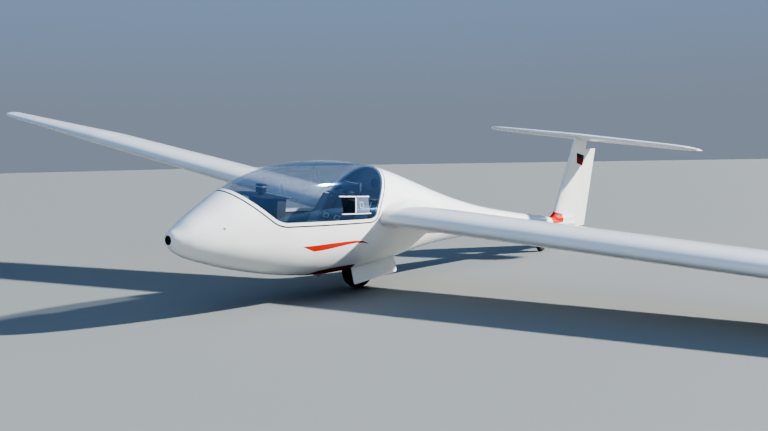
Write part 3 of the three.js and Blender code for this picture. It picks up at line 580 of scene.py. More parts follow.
def second_material(part, material, picks):
    """Gives the faces whose level middle is picked a second material."""
    part.data.materials.append(material)
    for face in part.data.polygons:
        face.material_index = 1 if picks(level_again @ face.center) else 0


gelcoat = surface("white_gelcoat", (0.84, 0.84, 0.81), 0.2, coat=0.5)
speckle(gelcoat, 1.7, (0.80, 0.80, 0.765), (0.86, 0.86, 0.835), "Base Color")
speckle(gelcoat, 7, 0.16, 0.27, "Roughness")
relief(gelcoat, 4, 0.00025)
# The inner face of the hull's wall gets a near-black navy, a painted shade for the covered cockpit.
painted_cabin_shade = surface("painted_cabin_shade", (0.06, 0.075, 0.10), 0.6)
speckle(painted_cabin_shade, 500, (0.035, 0.045, 0.06), (0.085, 0.105, 0.135), "Base Color", detail=1,
        spread=(0.42, 0.6))
relief(painted_cabin_shade, 500, 0.0002)
dress(hull, gelcoat, "airframe", "white_gelcoat", "fuselage_port", "fuselage_starboard")
second_material(hull, painted_cabin_shade,
                lambda at: cabin_start - 1 < at.x < cabin_end + 1 and deeper(at, hull_wall - 1))

# Canopy
# A moulded glass-fibre frame, white outside, follows the cut in the hull and hinges to starboard; the
# clear acrylic glazing is bonded into it in one piece, with a sliding vent window on the port side.
frame_depth, frame_width, glass_thickness = 16, 26, 4
canopy_start, canopy_end = 300, 2300


def canopy_shell(outer, inner, name, sections=120):
    """Shell of the canopy's form, between two depths under the hull's skin."""
    shell = solid(name, hull_form(canopy_start, canopy_end, outer, sections))
    return cut(shell, "inside", hull_form(canopy_start - 10, canopy_end + 10, inner, sections))


canopy_frame = canopy_shell(0, frame_depth, "canopy_surround")
trim(canopy_frame, "outer_line", canopy_prism(0))
cut(canopy_frame, "inner_line", canopy_prism(frame_width))
arm_half, arm_foot_low, arm_foot_high, knuckle_bore = 6, 6, 20, 5.3
for x in canopy_hinge_stations:
    sill = between((sill_front, sill_rear), x, 1)
    arm = solid("arm", slab(x - knuckle_half, x + knuckle_half, canopy_hinge_y - arm_half,
                            canopy_hinge_y + arm_half, canopy_hinge_z, sill + arm_foot_high))
    join(arm, "arm_foot", slab(x - knuckle_half, x + knuckle_half, canopy_hinge_y - lug_reach,
                               canopy_hinge_y + arm_half, sill + arm_foot_low, sill + arm_foot_high))
    join(arm, "knuckle", hinge_bar(x - knuckle_half, x + knuckle_half, lug_radius))
    cut(arm, "knuckle_bore", hinge_bar(x - 20, x + 20, knuckle_bore))
    cut(arm, "inside", hull_form(canopy_start, canopy_end, frame_depth, 80))
    carve(canopy_frame, arm, "UNION")
dress(canopy_frame, gelcoat, "canopy", "white_gelcoat", "canopy_frame")

# The rails of the vent window, each from its front to its rear end, and the window's edges as pairs of
# shares of the lower and the upper rail
vent_upper, vent_lower = ((1392, 893), (1752, 876)), ((1412, 752), (1766, 738))
vent_front, vent_split, vent_rear, rail_width = (0.04, 0.04), (0.5, 0.58), (0.97, 0.97), 9


def along_line(line, share):
    return [a + share * (b - a) for a, b in zip(*line)]


def moved(shares, shift):
    return tuple(share + shift for share in shares)


def vent_quad(start, end, margin):
    """Part of the window between two upright edges, with a margin to the rails."""
    lower = [along_line(vent_lower, edge[0]) for edge in (start, end)]
    upper = [along_line(vent_upper, edge[1]) for edge in (end, start)]
    return prism_across([(x, z + margin) for x, z in lower] + [(x, z - margin) for x, z in upper], -aside, 0)


glass = canopy_shell(0, glass_thickness, "canopy_glazing")
trim(glass, "glass_line", canopy_prism(frame_width + 0.3))
cut(glass, "vent_cut", vent_quad(vent_front, vent_split, rail_width))
# The glazing's deep blue colour is a painted reflection of the sky; the share of this painted reflection
# rises where the glass is seen edge-on.
acrylic = surface("acrylic", (0.19, 0.39, 0.70), 0.035, metallic=0.85, coat=0.6, coat_roughness=0.02)
acrylic_tree = acrylic.node_tree
facing = acrylic_tree.nodes.new("ShaderNodeLayerWeight")
facing.inputs["Blend"].default_value = 0.32
painted_sky_veil = acrylic_tree.nodes.new("ShaderNodeMapRange")
painted_sky_veil.inputs["To Min"].default_value = 0.22
painted_sky_veil.inputs["To Max"].default_value = 0.55
acrylic_tree.links.new(facing.outputs["Fresnel"], painted_sky_veil.inputs["Value"])
acrylic_tree.links.new(painted_sky_veil.outputs["Result"], acrylic_tree.nodes["Principled BSDF"].inputs["Alpha"])
inner_acrylic = surface("inner_acrylic", (0.5, 0.6, 0.75), 0.05, alpha=0.03)
speckle(inner_acrylic, 3, 0.03, 0.08, "Roughness")
dress(glass, acrylic, "canopy", "acrylic", "canopy_glass")
second_material(glass, inner_acrylic, lambda at: deeper(at, glass_thickness / 2))

# Wings
# Each wing is a foam and glass sandwich with a rounded tip, plugged into the root fairing; the aileron
# hangs in a cove at its trailing edge. A drilled aluminium plate under a white cap strip stands in its
# box at mid chord, and slides up out of it as the airbrake.
both_sides = ((-1, "port"), (1, "starboard"))
aileron_start, aileron_end, aileron_hinge = 4450, 7090, 0.77
brake_start, brake_end, brake_chord, brake_depth = 2100, 3500, 0.48, 112
blade_half, cap_half, cap_thickness = 6, 22, 14
hole_radius, holes_aside = 24, 6
aluminium = surface("bare_aluminium", (0.66, 0.67, 0.68), 0.32, metallic=1)
speckle(aluminium, 55, 0.24, 0.42, "Roughness", stretch=(1, 14, 14))
relief(aluminium, 420, 0.00005, stretch=(1, 10, 10))


def aileron_ring(y, side, cove):
    chord = wing_value(y, "chord")
    along, normal = chord * aileron_hinge, chord * camber_line(aileron_hinge, camber)
    radius = chord * half_thickness(aileron_hinge, wing_value(y, "thickness"))
    return [wing_point(y, along + aft, normal + across, side)
            for aft, across in flap_outline(radius, (chord - along, -normal), cove)]


wing_steps = 48
wing_levels = [wing_split + 0.3]
wing_levels += [wing_split + (wing_tip_start - wing_split) * i / wing_steps for i in range(1, wing_steps + 1)]
wing_levels += [7180, 7250, 7320, 7380, 7425, 7460, 7480, 7496]
for side, name in both_sides:
    wing = solid(f"wing_skin_{name}", loft([wing_ring(y, side) for y in wing_levels]))
    cut(wing, "bay", loft([aileron_ring(y, side, True)
                           for y in (aileron_start - clearance, aileron_end + clearance)]))
    aileron = solid(f"aileron_skin_{name}",
                    loft([aileron_ring(y, side, False) for y in (aileron_start, aileron_end)]))

    middle, reach = (brake_start + brake_end) / 2, (brake_end - brake_start) / 2
    chord = wing_value(middle, "chord")
    upper = chord * (camber_line(brake_chord, camber)
                     + half_thickness(brake_chord, wing_value(middle, "thickness")))
    rise = wing_value(brake_end, "z") - wing_value(brake_start, "z")
    brake_frame = (Matrix.Translation(wing_point(middle, chord * brake_chord, upper, side))
                   @ Matrix.Rotation(side * math.atan2(rise, brake_end - brake_start), 4, "X")
                   @ Matrix.Rotation(incidence, 4, "Y"))
    cap = solid(f"airbrake_cap_{name}",
                slab(-cap_half, cap_half, -reach, reach, -cap_thickness, 20), brake_frame)
    carve(cap, wing, "INTERSECT", keep=True)
    blade = solid(f"airbrake_blade_{name}", slab(-blade_half, blade_half, -reach, reach,
                                                 -brake_depth, 0.5 - cap_thickness), brake_frame)
    carve(blade, wing, "INTERSECT", keep=True)
    holes = [rod((-20, y, -brake_depth / 2), (20, y, -brake_depth / 2), hole_radius, sides=40)
             for y in (reach * i / (holes_aside + 0.5) for i in range(-holes_aside, holes_aside + 1))]
    cut(blade, "blade_holes", together(*holes), brake_frame)
    box_half = reach + clearance
    cut(wing, "slot", slab(-blade_half - clearance, blade_half + clearance, -box_half, box_half,
                           -brake_depth - 0.3, 0), brake_frame)
    cut(wing, "cap_seat", slab(-cap_half - clearance, cap_half + clearance, -box_half, box_half,
                               -cap_thickness - clearance, 60), brake_frame)
    dress(wing, gelcoat, "airframe", "white_gelcoat", f"wing_{name}")
    dress(aileron, gelcoat, f"{name}_aileron", "white_gelcoat", f"aileron_{name}")
    dress(cap, gelcoat, f"{name}_airbrake", "white_gelcoat", f"airbrake_{name}")
    dress(blade, aluminium, f"{name}_airbrake", "bare_aluminium")

# Tailplane, elevator and rudder
# The tailplane lies on top of the fin in one piece, with the elevator hinged along its rear edge; the
# rudder hangs on two brackets behind the fin. All are glass-fibre shells in the same white.
elevator_hinge_x, elevator_end, tail_kink = 6245, 1303, 1128


def elevator_ring(y, cove):
    x, chord, thickness = tail_values(y)
    radius = chord * half_thickness((elevator_hinge_x - x) / chord, thickness)
    return [(elevator_hinge_x + aft, y, tail_height + across)
            for aft, across in flap_outline(radius, (x + chord - elevator_hinge_x, 0), cove)]


def elevator_form(end, cove):
    return loft([elevator_ring(y, cove) for y in (-end, -tail_kink, 0, tail_kink, end)])


tail_rows = [-1398, -1356, -1315] + [tail_kink * (i / 12) for i in range(-12, 13)] + [1315, 1356, 1398]
tailplane = solid("tailplane_skin", loft([tail_ring(y) for y in tail_rows]), tail_tilt)
cut(tailplane, "bay", elevator_form(elevator_end + clearance, True), tail_tilt)
dress(tailplane, gelcoat, "airframe", "white_gelcoat", "tailplane")
elevator = solid("elevator_skin", elevator_form(elevator_end, False), tail_tilt)
dress(elevator, gelcoat, "tail_elevator", "white_gelcoat", "elevator")
rudder = solid("rudder_skin", loft([rudder_ring(z, False) for z in (rudder_bottom, rudder_top)]))
dress(rudder, gelcoat, "tail_rudder", "white_gelcoat", "rudder")

# Canopy seal
# A black rubber strip lies in the gap between the hull's edge and the canopy frame, a little below the
# skin, so that a thin dark line runs all round the white frame. It is glued to the hull.
seal = canopy_shell(1.6, 9, "canopy_seal", 90)
trim(seal, "outer_line", canopy_prism(0.15 - joint_gap))
cut(seal, "inner_line", canopy_prism(-0.25))
rubber = surface("black_rubber", (0.016, 0.016, 0.017), 0.78)
speckle(rubber, 30, 0.68, 0.88, "Roughness")
relief(rubber, 260, 0.0002)
dress(seal, rubber, "airframe", "tyre")

# Sliding vent window
# A square of clear sheet slides between two white rails on the port side of the glazing. It stands half
# open, so the forward half is a bare hole and the pane lies behind the glass with its small hand ring.
white_enamel = surface("white_enamel", (0.80, 0.80, 0.78), 0.34, coat=0.3)
speckle(white_enamel, 16, (0.76, 0.76, 0.735), (0.83, 0.83, 0.81), "Base Color")
relief(white_enamel, 90, 0.00012)
# The sliding pane is paler and less clear than the glazing, with an uneven roughness.
pale_pane_acrylic = surface("pale_pane_acrylic", (0.62, 0.68, 0.76), 0.16, coat=0.4, alpha=0.42)
speckle(pale_pane_acrylic, 40, 0.1, 0.24, "Roughness")
for name, line in (("upper", vent_upper), ("lower", vent_lower)):
    (x0, z0), (x1, z1) = line
    strip = prism_across([(x0, z0 - rail_width / 2), (x1, z1 - rail_width / 2),
                          (x1, z1 + rail_width / 2), (x0, z0 + rail_width / 2)], -aside, 0)
    rail = canopy_shell(glass_thickness + 0.3, glass_thickness + 8, f"vent_track_{name}")
    trim(rail, "strip", strip)
    dress(rail, white_enamel, "canopy", "painted_steel", f"vent_rail_{name}")
    cover = canopy_shell(-1.6, -0.1, f"vent_cover_{name}")
    trim(cover, "strip", strip)
    dress(cover, white_enamel, "canopy", "painted_steel")

pane_front, pane_margin = moved(vent_split, -0.05), rail_width / 2 + 0.3
pane = canopy_shell(glass_thickness + 1, glass_thickness + 4, "vent_pane")
trim(pane, "pane_line", vent_quad(pane_front, vent_rear, pane_margin))
dress(pane, pale_pane_acrylic, "canopy", "acrylic", "vent_window")
edge = canopy_shell(glass_thickness + 0.6, glass_thickness + 9, "vent_edge")
trim(edge, "edge_line", vent_quad(pane_front, moved(vent_split, -0.018), pane_margin))
dress(edge, white_enamel, "canopy", "painted_steel")
ring_start, ring_end, ring_bar = (0.62, 0.64), (0.76, 0.78), 0.03
ring = canopy_shell(glass_thickness + 0.5, glass_thickness + 15, "vent_hand_ring")
trim(ring, "ring_line", vent_quad(ring_start, ring_end, 42))
cut(ring, "ring_hole", vent_quad(moved(ring_start, ring_bar), moved(ring_end, -ring_bar), 53))
dress(ring, white_enamel, "canopy", "painted_steel")

# Stripes on the hull and fin
# Thin coloured film, cut to shape and laid on the white gelcoat: a swept red stripe on the port side, a
# dark red band along the belly, a red foot on the fin, and a plain patch of dark red and black high on it.
# The dark red is the same red film darkened, as painted shade.
film_thickness = 0.5


def film(name, outlines, picks, material):
    """Film cut to convex outlines in side view and laid on the faces of the hull that picks allows."""
    sheet = bmesh.new()
    for outline in outlines:
        piece = bmesh.new()
        piece.from_mesh(hull.data)
        piece.transform(level_again)
        piece.normal_update()
        piece.faces.ensure_lookup_table()
        away = [face for face in piece.faces if not picks(face.calc_center_median(), face.normal)]
        bmesh.ops.delete(piece, geom=away, context="FACES")
        for (x0, z0), (x1, z1) in zip(outline, outline[1:] + outline[:1]):
            bmesh.ops.bisect_plane(piece, geom=piece.verts[:] + piece.edges[:] + piece.faces[:],
                                   plane_co=(x0, 0, z0), plane_no=(z1 - z0, 0, x0 - x1), clear_outer=True)
        part = bpy.data.meshes.new(name)
        piece.to_mesh(part)
        piece.free()
        sheet.from_mesh(part)
        bpy.data.meshes.remove(part)
    bmesh.ops.remove_doubles(sheet, verts=sheet.verts, dist=0.01)
    sheet.transform(stance)
    mesh = bpy.data.meshes.new(name)
    sheet.to_mesh(mesh)
    sheet.free()
    made = placed(name, mesh)
    thicken = made.modifiers.new("thicken", "SOLIDIFY")
    thicken.thickness = film_thickness * mm
    thicken.offset = 1
    return dress(applied(made), material, "airframe", "white_gelcoat")


def film_finish(name, color):
    made = surface(name, color, 0.5, specular=0.12)
    dark, light = (tuple(c * k for c in color) for k in (0.88, 1.08))
    speckle(made, 9, dark, light, "Base Color")
    relief(made, 24, 0.0002)
    return made


red_film = film_finish("red_film", (0.58, 0.052, 0.028))
# A darker copy of the red film, as painted shade, for the belly band and the fin patch.
red_film_painted_shade = film_finish("red_film_painted_shade", (0.21, 0.012, 0.014))
black_film = film_finish("black_film", (0.014, 0.014, 0.015))
sweep_top = [(1010, 521), (1160, 521), (1330, 523), (1480, 523), (1610, 520), (1700, 507), (1775, 479)]
sweep_low = [(1135, 473), (1220, 474), (1330, 482), (1480, 495), (1610, 502), (1700, 494), (1775, 477)]
sweep = [[low0, low1, top1, top0] for low0, low1, top0, top1
         in zip(sweep_low, sweep_low[1:], sweep_top, sweep_top[1:])]
film("side_stripe", sweep, lambda at, normal: at.y < -200 and normal.y < -0.3, red_film)
belly_low = 150
belly_top = [(1205, 236), (1300, 277), (1413, 287), (1534, 291), (1680, 292), (1730, 288)]
belly = [[(x0, belly_low), (x1, belly_low), (x1, z1), (x0, z0)]
         for (x0, z0), (x1, z1) in zip(belly_top, belly_top[1:])]
film("belly_band", belly, lambda at, normal: normal.z < -0.02 and at.z < 300, red_film_painted_shade)
film("fin_foot_band", [[(5380, 345), (5658, 345), (5668, 440), (5468, 477), (5440, 477), (5380, 425)]],
     lambda at, normal: at.z > 338 and at.x > 5300, red_film)
for name, paint, outline in (
        ("patch_red", red_film_painted_shade, [(5917, 1061), (6097, 1021), (6099, 1105), (5904, 1142)]),
        ("patch_black", black_film, [(5904, 1142), (6099, 1105), (6100, 1150), (5900, 1186)])):
    film(name, [outline], lambda at, normal: at.z > 900 and at.y < 0 and normal.y < -0.5, paint)

# Nose vent and static ports
# A black moulded cup with a rolled lip takes in cabin air at the very tip of the nose. A small drilled
# aluminium disc lies flush in the skin on each side behind it and feeds the instruments.
aft, starboard = (1, 0, 0), (0, 1, 0)


def frame_about(axis):
    """A unit axis and two directions across it."""
    axis = Vector(axis).normalized()
    across = axis.orthogonal().normalized()
    return axis, across, axis.cross(across)


def wrapped(rings):
    """Closed form through rings of equal point counts that come round to the first again."""
    count, size = len(rings), len(rings[0])
    faces = [(i * size + k, i * size + (k + 1) % size, (i + 1) % count * size + (k + 1) % size,
              (i + 1) % count * size + k) for i in range(count) for k in range(size)]
    return [point for ring in rings for point in ring], faces


def turned(profile, centre, direction, segments=64):
    """Ring about an axis; profile rows are the distance from the axis and the place along it."""
    centre = Vector(centre)
    axis, across, other = frame_about(direction)
    outwards = [math.cos(t) * across + math.sin(t) * other
                for t in (2 * math.pi * i / segments for i in range(segments))]
    return wrapped([[tuple(centre + axis * along + radius * out) for radius, along in profile]
                    for out in outwards])


def spun(profile, centre, direction, sides=48):
    """Body of revolution; profile rows are the place along the axis and the radius there."""
    centre = Vector(centre)
    axis, across, other = frame_about(direction)
    return loft([circle(centre + axis * along, across, other, radius, sides) for along, radius in profile])


black_moulding = surface("black_moulding", (0.018, 0.018, 0.02), 0.42)
speckle(black_moulding, 22, 0.36, 0.55, "Roughness")
relief(black_moulding, 700, 0.00006)
vent_bore, vent_floor = vent_radius - 0.3, vent_depth - 8
cup_profile = [(26.5, -1.5), (28, -3.2), (31, -3.6), (33.2, -1.6), (vent_bore, 3),
               (vent_bore, vent_depth - 0.3), (2, vent_depth - 0.3), (2, vent_floor), (23, vent_floor),
               (26, 20)]
grille = [slab(18, 42, -26, 26, nose_z + shift - 0.8, nose_z + shift + 0.8) for shift in (-15, 0, 15)]
nose_cup = solid("nose_cup", together(
    turned(cup_profile, (0, 0, nose_z), aft),
    spun([(14, 0.5), (16, 6), (24, 12), (vent_depth - 9, 15)], (0, 0, nose_z), aft), *grille))
dress(nose_cup, black_moulding, "airframe", "black_plastic", "nose_vent")

port_x, port_angle = 330, 0.36
port_profile = [(1.6, -6), (9, -6), (9, 0.2), (8, 0.9), (1.6, 0.9)]
for side, name in both_sides:
    at, before, above = (
        Vector(hull_point(x, angle if side > 0 else math.pi - angle))
        for x, angle in ((port_x, port_angle), (port_x - 4, port_angle), (port_x, port_angle + 0.02)))
    outwards = (at - before).cross(above - at).normalized()
    outwards *= math.copysign(1, outwards.y * side)
    disc = solid(f"static_port_{name}", turned(port_profile, at, outwards, 32))
    dress(disc, aluminium, "airframe", "bare_aluminium")

# Tip skids
# A black nylon runner on a short foot is screwed under each wing tip, and takes the ground when the
# glider leans to that side.
skid_y, skid_from, skid_to, skid_drop, skid_half = 7300, 0.22, 0.78, 26, 14
for side, name in both_sides:
    chord = wing_value(skid_y, "chord")
    under = chord * (half_thickness(0.4, 0.13) - camber_line(0.4, camber))
    level_at = -under - skid_drop + skid_half
    front = Vector(wing_point(skid_y, chord * skid_from, level_at, side))
    back = Vector(wing_point(skid_y, chord * skid_to, level_at, side))
    length = (back - front).length
    rows = [(0, 3), (2, 8), (6, 11.5), (12, skid_half), (length - 12, skid_half), (length - 6, 11.5),
            (length - 2, 8), (length, 3)]
    runner = solid(f"tip_runner_{name}", spun(rows, front, back - front, 40))
    foot_low = -under - 12
    foot_rows = ((skid_from, 0), (skid_to, 0), (skid_to - 0.02, foot_low), (skid_from + 0.02, foot_low))
    foot = solid("runner_foot", loft([[wing_point(y, chord * share, normal, side)
                                       for share, normal in foot_rows] for y in (skid_y - 9, skid_y + 9)]))
    cut(foot, "wing_inside", loft([wing_ring(y, side, 0.3)
                                   for y in (6900, wing_tip_start, 7250, 7380, 7460, 7496)]))
    carve(runner, foot, "UNION")
    dress(runner, black_moulding, "airframe", "black_plastic", f"tip_skid_{name}", sharp=40)

# Main wheel
# An aircraft tyre with three rain grooves round its tread sits on a cast aluminium rim, which turns on a
# steel-nutted axle between the two plates of the fork.
wheel_x, wheel_z, bead, tyre_half, rim_half, crown = 2020, 181, 70, 62, 52, 180
wheel_centre = (wheel_x, 0, wheel_z)


def smooth_line(rows, steps=6):
    """Points of a smooth curve through rows, its two ends included."""
    made = []
    for i in range(len(rows) - 1):
        p0, p1, p2, p3 = (Vector(rows[min(max(k, 0), len(rows) - 1)]) for k in (i - 1, i, i + 1, i + 2))
        for j in range(steps):
            t = j / steps
            made.append(tuple(0.5 * (2 * p1 + (p2 - p0) * t + (2 * p0 - 5 * p1 + 4 * p2 - p3) * t**2
                                     + (3 * p1 - p0 - 3 * p2 + p3) * t**3)))
    return made + [tuple(rows[-1])]


def mirrored(half, tread=()):
    """Profile of a wheel from its one half, with a tread between the halves."""
    return [*half, *tread, *((r, -y) for r, y in reversed(half))]


def groove(at, depth=4, width=5):
    """Groove in the tread from its far edge to its near one, as drops from the crown and places."""
    start, end = at + width / 2, at - width / 2
    return [(0, start), (-depth, start - 0.8), (-depth, end + 0.8), (0, end)]


def rod_across(x, z, half, radius, sides=32):
    """Round bar across the hull."""
    return rod((x, -half, z), (x, half, z), radius, sides=sides)


shoulder = crown - 1.5
flank = smooth_line([(bead, rim_half), (84, 57), (105, tyre_half - 3), (135, tyre_half),
                     (158, tyre_half - 9), (172, tyre_half - 25), (shoulder, 22)], 5)
tread = [((shoulder if abs(place) > 12 else crown) + drop, place)
         for at in (18, 0, -18) for drop, place in groove(at)]
tyre = solid("main_tyre_rubber", turned(mirrored(flank, tread), wheel_centre, starboard, 96))
tyre_rubber = surface("tyre_rubber", (0.022, 0.022, 0.023), 0.8)
speckle(tyre_rubber, 14, (0.016, 0.016, 0.017), (0.05, 0.047, 0.043), "Base Color", spread=(0.45, 0.75))
relief(tyre_rubber, 180, 0.0004)
dress(tyre, tyre_rubber, "main_wheel", "tyre", "main_tyre")

rim_profile = [(12.4, -60), (22, -60), (24, -58), (24, -24), (30, -16), (54, -12), (59, -20),
               (60, 4 - rim_half), (64, -rim_half), (bead - 0.3, -rim_half)]
rim = solid("main_rim_casting", turned(mirrored(rim_profile), wheel_centre, starboard, 72))
bolt_circle, bolt_count = 42, 6


def on_bolt_circle(turn):
    """Place in the rim at a number of bolt spacings round it."""
    t = 2 * math.pi * turn / bolt_count
    return wheel_x + bolt_circle * math.cos(t), 0, wheel_z + bolt_circle * math.sin(t)


for i in range(bolt_count):
    x, y, z = on_bolt_circle(i)
    cut(rim, "rim_hole", rod_across(x, z, 30, 7, 24))
dress(rim, aluminium, "main_wheel", "bare_aluminium", "main_rim")
bolt_profile = [(-17, 3), (-16.5, 5), (16.5, 5), (17, 3)]
rim_bolts = together(*[spun(bolt_profile, on_bolt_circle(i + 0.5), starboard, 6) for i in range(bolt_count)])
steel = surface("zinc_steel", (0.52, 0.52, 0.5), 0.38, metallic=1)
speckle(steel, 80, 0.3, 0.5, "Roughness")
dress(solid("rim_bolts", rim_bolts), steel, "main_wheel", "bare_aluminium")

# Fork, axle and wheel box
# Two painted steel plates hang from a cross tube and carry the axle, which a nut closes at each end. A
# white glass-fibre box keeps the wheel's dirt and wet out of the hull.
pivot_x, pivot_z, pivot_radius, leg_thickness = 1868, 468, 17, 9
leg_outline = [(pivot_x - 24, pivot_z + 10), (pivot_x - 8, pivot_z + 22), (pivot_x + 22, pivot_z + 18),
               (wheel_x + 30, wheel_z + 8), (wheel_x + 26, wheel_z - 14), (wheel_x + 14, wheel_z - 25),
               (wheel_x - 12, wheel_z - 26), (wheel_x - 24, wheel_z - 14)]
fork = solid("fork_tube", rod_across(pivot_x, pivot_z, well_half - 0.3, pivot_radius, 40))
for side in (-1, 1):
    near, far = sorted((side * (tyre_half + 10), side * (tyre_half + 10 + leg_thickness)))
    leg = solid("leg", prism_across(leg_outline, near, far))
    cut(leg, "leg_hole", rod_across(1930, 340, 120, 13))
    carve(fork, leg, "UNION")
cut(fork, "axle_bore", rod_across(wheel_x, wheel_z, 100, 12.3, 40))


def soften(part, width, segments=2):
    """Rounds the crisp edges of a piece by a width in millimetres."""
    change = part.modifiers.new("soften", "BEVEL")
    change.width = width * mm
    change.segments = segments
    change.limit_method = "ANGLE"
    change.angle_limit = 35 * degree
    return applied(part)


def axle_bar(half, radius, centre):
    """Axle across the hull with a small chamfer at each end."""
    rows = [(-half, radius - 1.5), (1 - half, radius), (half - 1, radius), (half, radius - 1.5)]
    return spun(rows, centre, starboard)


grey_enamel = surface("grey_enamel", (0.56, 0.57, 0.56), 0.4, coat=0.2)
speckle(grey_enamel, 12, (0.48, 0.485, 0.475), (0.6, 0.61, 0.6), "Base Color")
relief(grey_enamel, 120, 0.00012)
dress(soften(fork, 1.2), grey_enamel, "airframe", "painted_steel", "gear_fork")
dress(solid("axle_bar", axle_bar(88, 12, wheel_centre)), steel, "airframe", "bare_aluminium", "main_axle")
axle_nuts = together(*[turned([(12.1, side * 81.4), (19, side * 81.4), (19, side * 86), (17, side * 87.5),
                               (12.1, side * 87.5)], wheel_centre, starboard, 6) for side in (-1, 1)])
dress(solid("axle_nuts", axle_nuts), steel, "airframe", "bare_aluminium")
box_wall, well_top = 5, 520
lining = solid("wheel_box_shell", slab(well_start - box_wall, well_end + box_wall, -well_half - box_wall,
                                       well_half + box_wall, 150, well_top + box_wall))
cut(lining, "box_inside", slab(well_start, well_end, -well_half, well_half, 100, well_top))
trim(lining, "box_bounds", hull_form(cabin_start, cabin_end, hull_wall + 0.3, 60))
dress(lining, gelcoat, "airframe", "white_gelcoat", "wheel_box")

# Wheel doors
# Two flat glass-fibre panels stand open beside the wheel on piano hinges along the edges of the well.
# They are white outside and have a raised stiffening frame with one cross bar inside.
door_tilt, door_top, door_front, door_rear = 20 * degree, 300, 207, 159
door_start, door_end = well_start + 8, well_end - 8
door_outline = [(door_start, 16 - door_front), (door_start + 5, 5 - door_front),
                (door_start + 18, -door_front), (door_end - 16, -1 - door_rear),
                (door_end - 4, 6 - door_rear), (door_end, 18 - door_rear), (door_end, 10), (door_start, 10)]
door_bar = [(2015, -160), (2035, -160), (2035, -88), (2015, -88)]
door_frame_margin, top_bar_share = 22, 0.875


def door_frame_line(inset):
    """Outline of the stiffening frame, or of its opening further in, whose top bar is narrower."""
    front, rear = door_start + door_frame_margin + inset, door_end - door_frame_margin - inset
    drop = inset * top_bar_share
    return [(front, 26 + inset - door_front), (rear, 20 + inset - door_rear),
            (rear, -76 - drop), (front, -96 - drop)]


for side, name in both_sides:
    placing = (Matrix.Translation((0, side * (well_half + 8), door_top))
               @ Matrix.Rotation(side * door_tilt, 4, "X"))
    door = solid(f"wheel_door_{name}", prism_across(door_outline, -3, 3), placing)
    cut(door, "hull_seat", hull_form(well_start - 100, well_end + 100, -0.3, 40))
    dress(soften(door, 0.9), gelcoat, "airframe", "white_gelcoat", f"gear_door_{name}")
    inner, outer = sorted((-side * 3.1, -side * 7.5))
    ribs = solid(f"door_frame_{name}", prism_across(door_frame_line(0), inner, outer), placing)
    cut(ribs, "frame_hollow", prism_across(door_frame_line(16), inner - 5, outer + 5), placing)
    join(ribs, "frame_bar", prism_across(door_bar, inner, outer), placing)
    dress(soften(ribs, 1.2), gelcoat, "airframe", "white_gelcoat")

# Tail wheel
# A small solid-looking tyre on a turned aluminium hub runs in a glass-fibre fairing under the boom; the
# fairing opens round the wheel and carries both ends of the axle.
tail_x, tail_radius, tail_half = 5310, 100, 27
tail_centre = (tail_x, 0, tail_radius)
tail_flank = smooth_line([(42, 20), (56, 24), (70, tail_half), (84, tail_half - 3),
                          (94, tail_half - 11)], 5)
tail_tread = [(99.2, 9), (99.2, 5), (97.2, 4), (97.2, 2), (99.4, 1), (99.4, -1), (97.2, -2), (97.2, -4),
              (99.2, -5), (99.2, -9)]
tail_tyre = solid("tail_tyre_rubber", turned(mirrored(tail_flank, tail_tread), tail_centre, starboard, 72))
dress(tail_tyre, tyre_rubber, "tail_wheel", "tyre", "tail_tyre")
hub_profile = [(8.4, -26), (14, -26), (16, -24), (20, -14), (36, -16), (41.6, -20)]
tail_hub = solid("tail_hub_turning", turned(mirrored(hub_profile), tail_centre, starboard, 48))
dress(tail_hub, aluminium, "tail_wheel", "bare_aluminium", "tail_hub")
tail_axle = solid("tail_axle_bolt", axle_bar(38, 8, tail_centre))
dress(tail_axle, steel, "airframe", "bare_aluminium", "tail_axle")

# Rows of the fairing: x, half width, lowest z
fairing_rows = [(5145, 3, 262), (5190, 26, 178), (5250, 38, 118), (5330, 42, 84), (5410, 38, 104),
                (5500, 22, 176), (5560, 3, 248)]
fairing_top, fairing_round = 330, 34
fairing_rings = []
for x, half, low in smooth_line(fairing_rows):
    half = max(half, 2.5)
    ring = [(x, -half, fairing_top), (x, half, fairing_top)]
    for t in (math.pi * i / 12 for i in range(13)):
        ring.append((x, half * math.copysign(abs(math.cos(t)) ** 0.55, math.cos(t)),
                     low + fairing_round - fairing_round * math.sin(t) ** 0.8))
    fairing_rings.append(ring)
wheel_fairing = solid("tail_wheel_fairing", loft(fairing_rings))
cut(wheel_fairing, "boom_seat", hull_form(5000, 5900, -0.3, 40))
cut(wheel_fairing, "tyre_room", rod_across(tail_x, tail_radius, tail_half + 6, tail_radius + 12, 64))
cut(wheel_fairing, "axle_hole", rod_across(tail_x, tail_radius, 60, 8.3))
dress(wheel_fairing, gelcoat, "airframe", "white_gelcoat", "tail_fairing")

# Tow hook
# A zinc-plated steel housing sits in the belly ahead of the wheel; its curved jaw holds the ring of the
# winch line and swings open when the pilot pulls the release.
hook_x, hook_z = 1515, 180
hook_housing = solid("hook_housing", slab(hook_x - 45, hook_x + 45, -16, 16, hook_z - 4, hook_z + 60))
cut(hook_housing, "hook_seat", hull_form(1300, 1700, -0.3, 40))
join(hook_housing, "hook_toe", slab(hook_x - 15, hook_x + 15, -8, 8, hook_z - 16, hook_z))
dress(soften(hook_housing, 1.5), steel, "airframe", "painted_steel", "tow_hook")
jaw_profile = [(9, -6), (16, -6), (16, 6), (9, 6)]
hook_jaw = solid("hook_jaw", turned(jaw_profile, (hook_x, 0, hook_z), starboard, 40))
cut(hook_jaw, "jaw_gap", slab(hook_x + 1, hook_x + 25, -10, 10, hook_z - 30, hook_z + 2))
dress(hook_jaw, steel, "airframe", "painted_steel")

